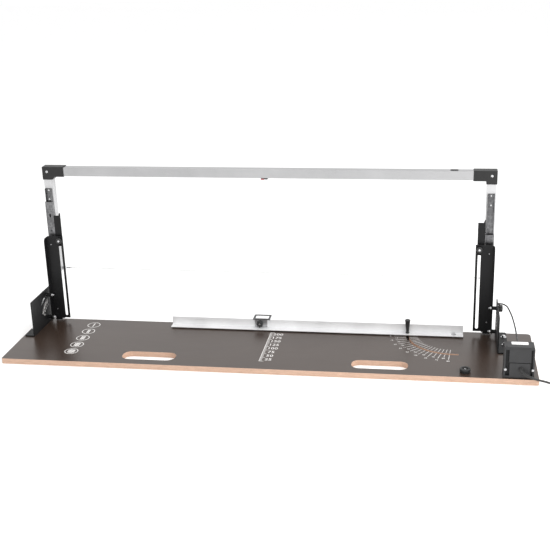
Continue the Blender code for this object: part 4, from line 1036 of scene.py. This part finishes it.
depthKnob = {"radius": 0.0088, "thick": 0.0092, "bore": 0.0034, "dish": 0.0014, "ribs": 24, "dip": 0.0005,
             "x": {"left": 0.0867, "right": 1.2904}, "y": 0.2857, "z": 0.2670}
insert = [(0, 0.0072), (0.0014, 0.0072), (0.0014, 0.0080), (0.0030, 0.0080), (0.0033, 0.0077), (0.0033, 0.0069),
          (0, 0.0069)]
for side, x in depthKnob["x"].items():
    at = plan(x, depthKnob["y"], depthKnob["z"])
    assembled(side + "DepthKnob", [
        lathe(knobProfile(depthKnob["radius"], depthKnob["thick"], depthKnob["bore"], depthKnob["dish"]), at, "-Y", 96,
              lobed(depthKnob["ribs"], depthKnob["dip"], 0.0082)),
    ], "knob", f"depth_knob_{side}", [side + "_depth_knob"])
    assembled(side + "DepthKnobInsert", [lathe(insert, at, "-Y", 36, hexed(0.0012, 0.0016))], "bolt",
              f"depth_knob_{side}")
print("bolts and knobs made")

# fence, its clamp and its length stop
refine("fenceAngle", "fence", "fence", 0.0004)
fencePivot = {"over": 0.0202, "offset": (0.0002, -0.001, 0)}
over = fencePivot["over"]
pin = [(0, over + 0.0062), (0.0026, over + 0.0060), (0.0042, over + 0.0052), (0.0046, over + 0.0046),
       (0.0046, over + 0.0013), (0.0066, over + 0.0012), (0.0069, over + 0.0009), (0.0069, over), (0.0040, over),
       (0.0040, 0.0176), (0.0086, 0.0176), (0.0089, 0.0173), (0.0089, 0.0155), (0.0086, 0.0153), (0.0040, 0.0153),
       (0.0040, 0.0067), (0.0080, 0.0067), (0.0080, 0.0022), (0.0076, 0.0020), (0, 0.0020)]
pinAt = plan(*board["pivot"], 0) + Vector(fencePivot["offset"])
assembled("fencePivot", [lathe(pin, pinAt, "+Z", 36, hexed(0.0043, 0.0048))], "bolt", "base",
          ["fence_pivot_bolt"])

clampHandle = {"crown": 0.0618, "top": 0.0078, "foot": 0.0040, "length": 0.0344, "steps": 8}
crown = clampHandle["crown"]
low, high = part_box("fence_clamp")
clampAt = Vector(((low[0] + high[0]) / 2, (low[1] + high[1]) / 2, 0))
handle = [(0, crown), (0.0034, crown - 0.0001), (0.0050, crown - 0.0005), (0.0060, crown - 0.0013)]
for i in range(clampHandle["steps"] + 1):
    share = i / clampHandle["steps"]
    radius = clampHandle["top"] + (clampHandle["foot"] - clampHandle["top"]) * share**0.85
    handle.append((radius, crown - 0.0026 - share * clampHandle["length"]))
handle += [(0.0047, over + 0.0036), (0.0052, over + 0.0030), (0.0052, over + 0.0004), (0.0049, over), (0.0030, over),
           (0.0030, 0.0062), (0.0080, 0.0062), (0.0080, 0.0023), (0.0077, 0.0020), (0, 0.0020)]
assembled("clampHandle", [lathe(handle, clampAt, "+Z", 48)], "knob", "fence_clamp",
          ["fence_clamp"], 50)

stop = {"armsFrom": 0.0431}
loopPiece = refine("stopLoop", "length_stop", "stop", 0.0004)
loopPiece.data.materials.append(paints["arm"])
for face in loopPiece.data.polygons:
    face.material_index = 1 if face.center.z > stop["armsFrom"] else 0
stopKnob = {"radius": 0.0100, "thick": 0.0090, "bore": 0.0028, "lobes": 8, "dip": 0.0021}
low, high = (Vector(c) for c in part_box("stop_knob"))
knobAt = Vector(((low.x + high.x) / 2, low.y + stopKnob["thick"], (low.z + high.z) / 2))
assembled("stopKnob", [
    lathe(knobProfile(stopKnob["radius"], stopKnob["thick"], stopKnob["bore"]), knobAt, "-Y", 96,
          lobed(stopKnob["lobes"], stopKnob["dip"], 0.0081)),
], "knob", "stop_knob", ["stop_knob"])
stopScrew = [(0, 0.0084), (0.0020, 0.0084), (0.0026, 0.0078), (0.0026, 0.0002)] + thread(0.0024, -0.0030, 0.0032)
assembled("stopScrew", [lathe(stopScrew, knobAt, "-Y", 24)], "bolt", "stop_knob")
print("fence made")

# bumper
bumper = {"radius": 0.0142, "height": 0.0115, "recess": 0.0055, "screw": (0.0044, 0.0026)}
low, high = (Vector(c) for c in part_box("end_bumper"))
bumperAt = Vector(((low.x + high.x) / 2, (low.y + high.y) / 2, board["top"]))
r, h, sunk = bumper["radius"], bumper["height"], bumper["recess"]
buffer = [(0.0025, sunk), (0.0070, sunk), (0.0073, 0.0060), (0.0082, h - 0.0004), (0.0086, h), (r - 0.0026, h),
          (r - 0.0012, h - 0.0005), (r - 0.0003, h - 0.0018), (r, h - 0.0034), (r - 0.0002, 0.0045),
          (r - 0.0005, 0.0026), (r - 0.0004, 0.0012), (r - 0.0012, 0.0003), (0.0025, 0.0003), (0.0025, sunk)]
assembled("roundBumper", [lathe(buffer, bumperAt, "+Z", 64)], "bumper", "base", ["end_bumper"], 40)
screwHead = addScrews("bumperScrew", [bumperAt + Vector((0, 0, 0.0058))], "+Z", *bumper["screw"], "base", "zinc_steel")
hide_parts("bumper_screw")


# supply
def unionOf(name, blocks, width, segments=2):
    # blocks: (low, high, taper) in plan positions, joined into one body with rounded edges
    whole = None
    for low, high, taper in blocks:
        work = bmesh.new()
        bmesh.ops.create_cube(work, size=1)
        low, high = Vector(low), Vector(high)
        middle, size = (low + high) / 2, high - low
        for vert in work.verts:
            co = Vector(vert.co[i] * size[i] for i in range(3))
            if vert.co.z > 0 and taper:
                co.x *= 1 - 2 * taper / size.x
                co.y *= 1 - 2 * taper / size.y
            vert.co = co + middle + shift
        made = linked("block", meshOf("block", work, None))
        if whole is None:
            whole = made
            continue
        change = whole.modifiers.new("join", "BOOLEAN")
        change.operation = "UNION"
        change.solver = "EXACT"
        change.object = made
        whole = linked("whole", baked(whole))
        bpy.data.objects.remove(made, do_unlink=True)
    work = bmesh.new()
    work.from_mesh(whole.data)
    bpy.data.objects.remove(whole, do_unlink=True)
    bmesh.ops.remove_doubles(work, verts=work.verts, dist=0.000005)
    bmesh.ops.dissolve_limit(work, angle_limit=math.radians(0.5), verts=work.verts, edges=work.edges)
    return softened(name, work, width, segments, 30)
case = {"left": 1.350, "right": 1.427, "front": 0.006, "back": 0.047, "base": 0.0153, "top": 0.0997}
x0, x1, y0, y1, z0, z1 = (case[k] for k in ("left", "right", "front", "back", "base", "top"))
caseMesh = unionOf("supplyCase", [
    ((x0 + 0.0012, y0 + 0.0062, z0 + 0.0001), (x1 - 0.0012, y1 - 0.0006, z1 - 0.0030), 0.0006),
    ((x0 + 0.0006, y0 + 0.0010, z1 - 0.0075), (x1 - 0.0006, y1, z1), 0.0014),
    ((x0, y0 + 0.0002, z0), (x1, y1, z0 + 0.0062), 0.0),
    ((x0 + 0.0130, y0 + 0.0004, 0.0580), (x1 - 0.0095, y0 + 0.0150, 0.0945), 0.0004),
    ((x0 + 0.0145, y0 + 0.0002, z0 + 0.0030), (x1 - 0.0105, y0 + 0.0151, 0.0562), 0.0003),
    ((x0 + 0.0006, y0 + 0.0012, z0 + 0.0020), (x0 + 0.0046, y1 - 0.0003, z1 - 0.0050), 0.0),
    ((x1 - 0.0046, y0 + 0.0012, z0 + 0.0021), (x1 - 0.0006, y1 - 0.0003, z1 - 0.0051), 0.0),
], 0.0009, 3)
caseMesh.materials.append(paints["case"])
caseMesh.materials.append(paints["steel"])
# the recessed front faces between the front panels and the side rails take the darker black coat: painted shade in
# those grooves
for face in caseMesh.polygons:
    centre = face.center - shift
    face.material_index = 1 if abs(centre.y - y0 - 0.0063) < 0.0009 and centre.z < z1 - 0.004 else 0
newPiece("supplyCase", caseMesh, None, "base", ["transformer_case"])

ear = {"across": (x0 + 0.0048, x1 - 0.0042), "z": 0.0380, "screw": (0.0036, 0.0014), "lidScrew": (0.0019, 0.0007)}
earShape = [(0, 0.0030), (0.0042, 0.0030), (0.0047, 0.0025), (0.0050, -0.0070), (0, -0.0070)]
assembled("supplyEars", [lathe(earShape, plan(x, y0 + 0.0036, ear["z"]), "-Y", 40) for x in ear["across"]], "case",
          "base")
addScrews("supplyScrews", [plan(x, y0 + 0.0007, ear["z"]) for x in ear["across"]], "-Y", *ear["screw"], "base",
          "zinc_steel")
lidPlaces = [plan(x, y, z1 - 0.0001) for x in (x0 + 0.0065, x1 - 0.0065) for y in (y0 + 0.0075, y1 - 0.0060)]
addScrews("lidScrews", lidPlaces, "+Z", *ear["lidScrew"], "base", "black_plastic", "case")
refine("coreStack", "transformer_core", "core", 0.0004)

label = {"left": 1.3690, "right": 1.4110, "front": 0.0260, "back": 0.0435, "corner": 0.0022, "thick": 0.00012}


def slip(name, x0, x1, y0, y1, z, radius, thick):
    # a thin slip with rounded corners, lying flat
    work = bmesh.new()
    loops = []
    for height in (z, z + thick):
        ring = []
        for cx, cy, start in ((x1 - radius, y1 - radius, 0), (x0 + radius, y1 - radius, 90),
                              (x0 + radius, y0 + radius, 180), (x1 - radius, y0 + radius, 270)):
            for i in range(7):
                angle = math.radians(start + 15 * i)
                ring.append(work.verts.new(plan(cx + radius * math.cos(angle), cy + radius * math.sin(angle), height)))
        loops.append(ring)
    return meshOf(name, skin(work, loops))


labelMesh = slip("supplyLabel", label["left"], label["right"], label["front"], label["back"], z1 + 0.00002,
                 label["corner"], label["thick"])
newPiece("supplyLabel", labelMesh, paints["label"], "base")


def sweep(points, radii, steps=32):
    # a closed skin along a route, with a radius for each point
    work = bmesh.new()
    rings = []
    aside = None
    for i, point in enumerate(points):
        ahead = (points[min(i + 1, len(points) - 1)] - points[max(i - 1, 0)]).normalized()
        if aside is None:
            aside = ahead.orthogonal().normalized()
        aside = (aside - ahead * aside.dot(ahead)).normalized()
        up = ahead.cross(aside)
        ring = []
        for k in range(steps):
            angle = 2 * math.pi * k / steps
            ring.append(work.verts.new(point + (aside * math.cos(angle) + up * math.sin(angle)) * radii[i]))
        rings.append(ring)
    return skin(work, rings)
relief = {"start": 0.0054, "end": 0.0034, "pitch": 0.0034, "groove": 0.0010, "collar": 0.0062}
reliefRoute = smoothRoute([
    (1.3930, 0.0062, 0.0400), (1.3930, 0.0005, 0.0400), (1.3965, -0.0048, 0.0365), (1.4045, -0.0070, 0.0312),
    (1.4130, -0.0070, 0.0266), (1.4215, -0.0062, 0.0230),
], 0.0004)
reliefRadii = []
travelled = 0
total = sum((b - a).length for a, b in zip(reliefRoute, reliefRoute[1:]))
for i, point in enumerate(reliefRoute):
    travelled += (point - reliefRoute[i - 1]).length if i else 0
    share = travelled / total
    radius = relief["start"] + (relief["end"] - relief["start"]) * share
    if travelled < 0.0026:
        radius = relief["collar"]
    elif travelled > 0.0045 and total - travelled > 0.002:
        phase = (travelled % relief["pitch"]) / relief["pitch"]
        radius -= relief["groove"] * (1 - share * 0.4) * (1 if phase < 0.36 else 0)
    reliefRadii.append(radius)
reliefPiece = assembled("cordRelief", [sweep([plan(*p) for p in reliefRoute], reliefRadii)], "rubber", "base",
                        ["strain_relief"], 30)

gland = [(0, 0.0069), (0.0022, 0.0069), (0.0026, 0.0065), (0.0028, 0.0052), (0.0024, 0.0050), (0.0024, 0.0044),
         (0.0031, 0.0042), (0.0032, 0.0034), (0.0028, 0.0032), (0.0028, 0.0026), (0.0036, 0.0023), (0.0040, 0.0018),
         (0.0040, 0.0002), (0.0038, 0), (0, 0)]
for name, node, aim, axis in (("caseGland", "lead_gland_case", "+Y", 1),
                              ("bracketGland", "lead_gland_bracket", "+X", 0)):
    low, high = (Vector(c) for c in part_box(node))
    at = (low + high) / 2
    at[axis] = low[axis]
    assembled(name, [lathe(gland, at, aim, 40)], "rubber", "base", [node], 30)

plug = {"back": 1.6018, "y": 0.1300, "middle": 0.00685, "thick": 0.0134, "length": 0.0356, "pins": 0.0093}
outline = [(0.0, 0.0050), (-0.0050, 0.0062), (-0.0120, 0.0086), (-0.0190, 0.0130), (-0.0255, 0.0168), (-0.0300, 0.0176),
           (-0.0345, 0.0175), (-0.0356, 0.0166)]
outline += [(x, -y) for x, y in reversed(outline)]
smoothOutline = smoothRoute([(x, y, 0) for x, y in outline], 0.0015)
body = bmesh.new()
rings = []
half = plug["thick"] / 2
for share in (-1, -0.94, -0.8, -0.5, 0, 0.5, 0.8, 0.94, 1):
    inset = {1: 0.0026, 0.94: 0.0013, 0.8: 0.0005, 0.5: 0.0001, 0: 0}[abs(share)]
    ring = []
    for p in smoothOutline:
        x = min(max(p.x, -plug["length"] + inset), -inset * 0.6)
        y = p.y * (1 - inset / 0.0177)
        ring.append(body.verts.new(plan(plug["back"] + x, plug["y"] + y, plug["middle"] + half * share)))
    rings.append(ring)
skin(body, rings)
neck = []
neckRadii = []
for i in range(60):
    along = -0.003 + i * 0.0004
    neck.append(plan(plug["back"] + along - 0.010, plug["y"], plug["middle"]))
    groove = 0.0009 if i > 26 and (i - 26) % 8 < 3 and i < 57 else 0
    neckRadii.append(0.0052 - 0.0018 * i / 59 - groove)


def onPins(profile):
    x = plug["back"] - plug["length"]
    return [lathe(profile, plan(x, plug["y"] + y, plug["middle"]), "-X", 24) for y in (-plug["pins"], plug["pins"])]


sleeves = onPins([(0, 0.0105), (0.0019, 0.0105), (0.0020, 0.0102), (0.0020, -0.001), (0, -0.001)])
plugPiece = assembled("plugBody", [body, sweep(neck, neckRadii), *sleeves], "rubber", "base",
                      ["mains_plug"], 40)
pins = onPins([(0, 0.0192), (0.0010, 0.0191), (0.0017, 0.0185), (0.0020, 0.0176), (0.0020, 0.0104), (0, 0.0104)])
pinPiece = assembled("plugPins", pins, "bolt", "base")
print("supply made")

# stage
stage = {"reach": 14, "floor": 0.97, "world": 1.03}
reach = stage["reach"]
floorMesh = bpy.data.meshes.new("floor")
corners = [(-reach, -reach, 0), (reach, -reach, 0), (reach, reach, 0), (-reach, reach, 0)]
floorMesh.from_pydata(corners, [], [(0, 1, 2, 3)])
floor = linked("floor", floorMesh)
floorMesh.materials.append(newPaint("floorPaint", grey(stage["floor"]), 0.7)[0])

world = bpy.data.worlds.new("studio")
bpy.context.scene.world = world
world.use_nodes = True
background = world.node_tree.nodes["Background"]
background.inputs["Color"].default_value = (1, 1, 1, 1)
background.inputs["Strength"].default_value = stage["world"]
bpy.context.scene.view_settings.view_transform = "Standard"


def softLight(name, place, target, size, power, mirrored=True):
    data = bpy.data.lights.new(name, "AREA")
    data.shape = "RECTANGLE"
    data.size, data.size_y = size
    data.energy = power
    light = linked(name, data)
    light.location = place
    light.rotation_euler = (Vector(target) - Vector(place)).to_track_quat("-Z", "Y").to_euler()
    light.visible_glossy = mirrored    # off: it lights, but leaves no glare on the film


softLight("key", (0.1, 0.1, 2.9), (0.1, 0, 0.1), (2.4, 1.4), 21)
softLight("right", (2.4, 0.2, 1.8), (0.3, 0, 0.2), (2.2, 2.2), 22)
softLight("frontRight", (2.1, -2.2, 1.1), (0.75, -0.15, 0.05), (3.0, 2.0), 56, False)
print("stage set")
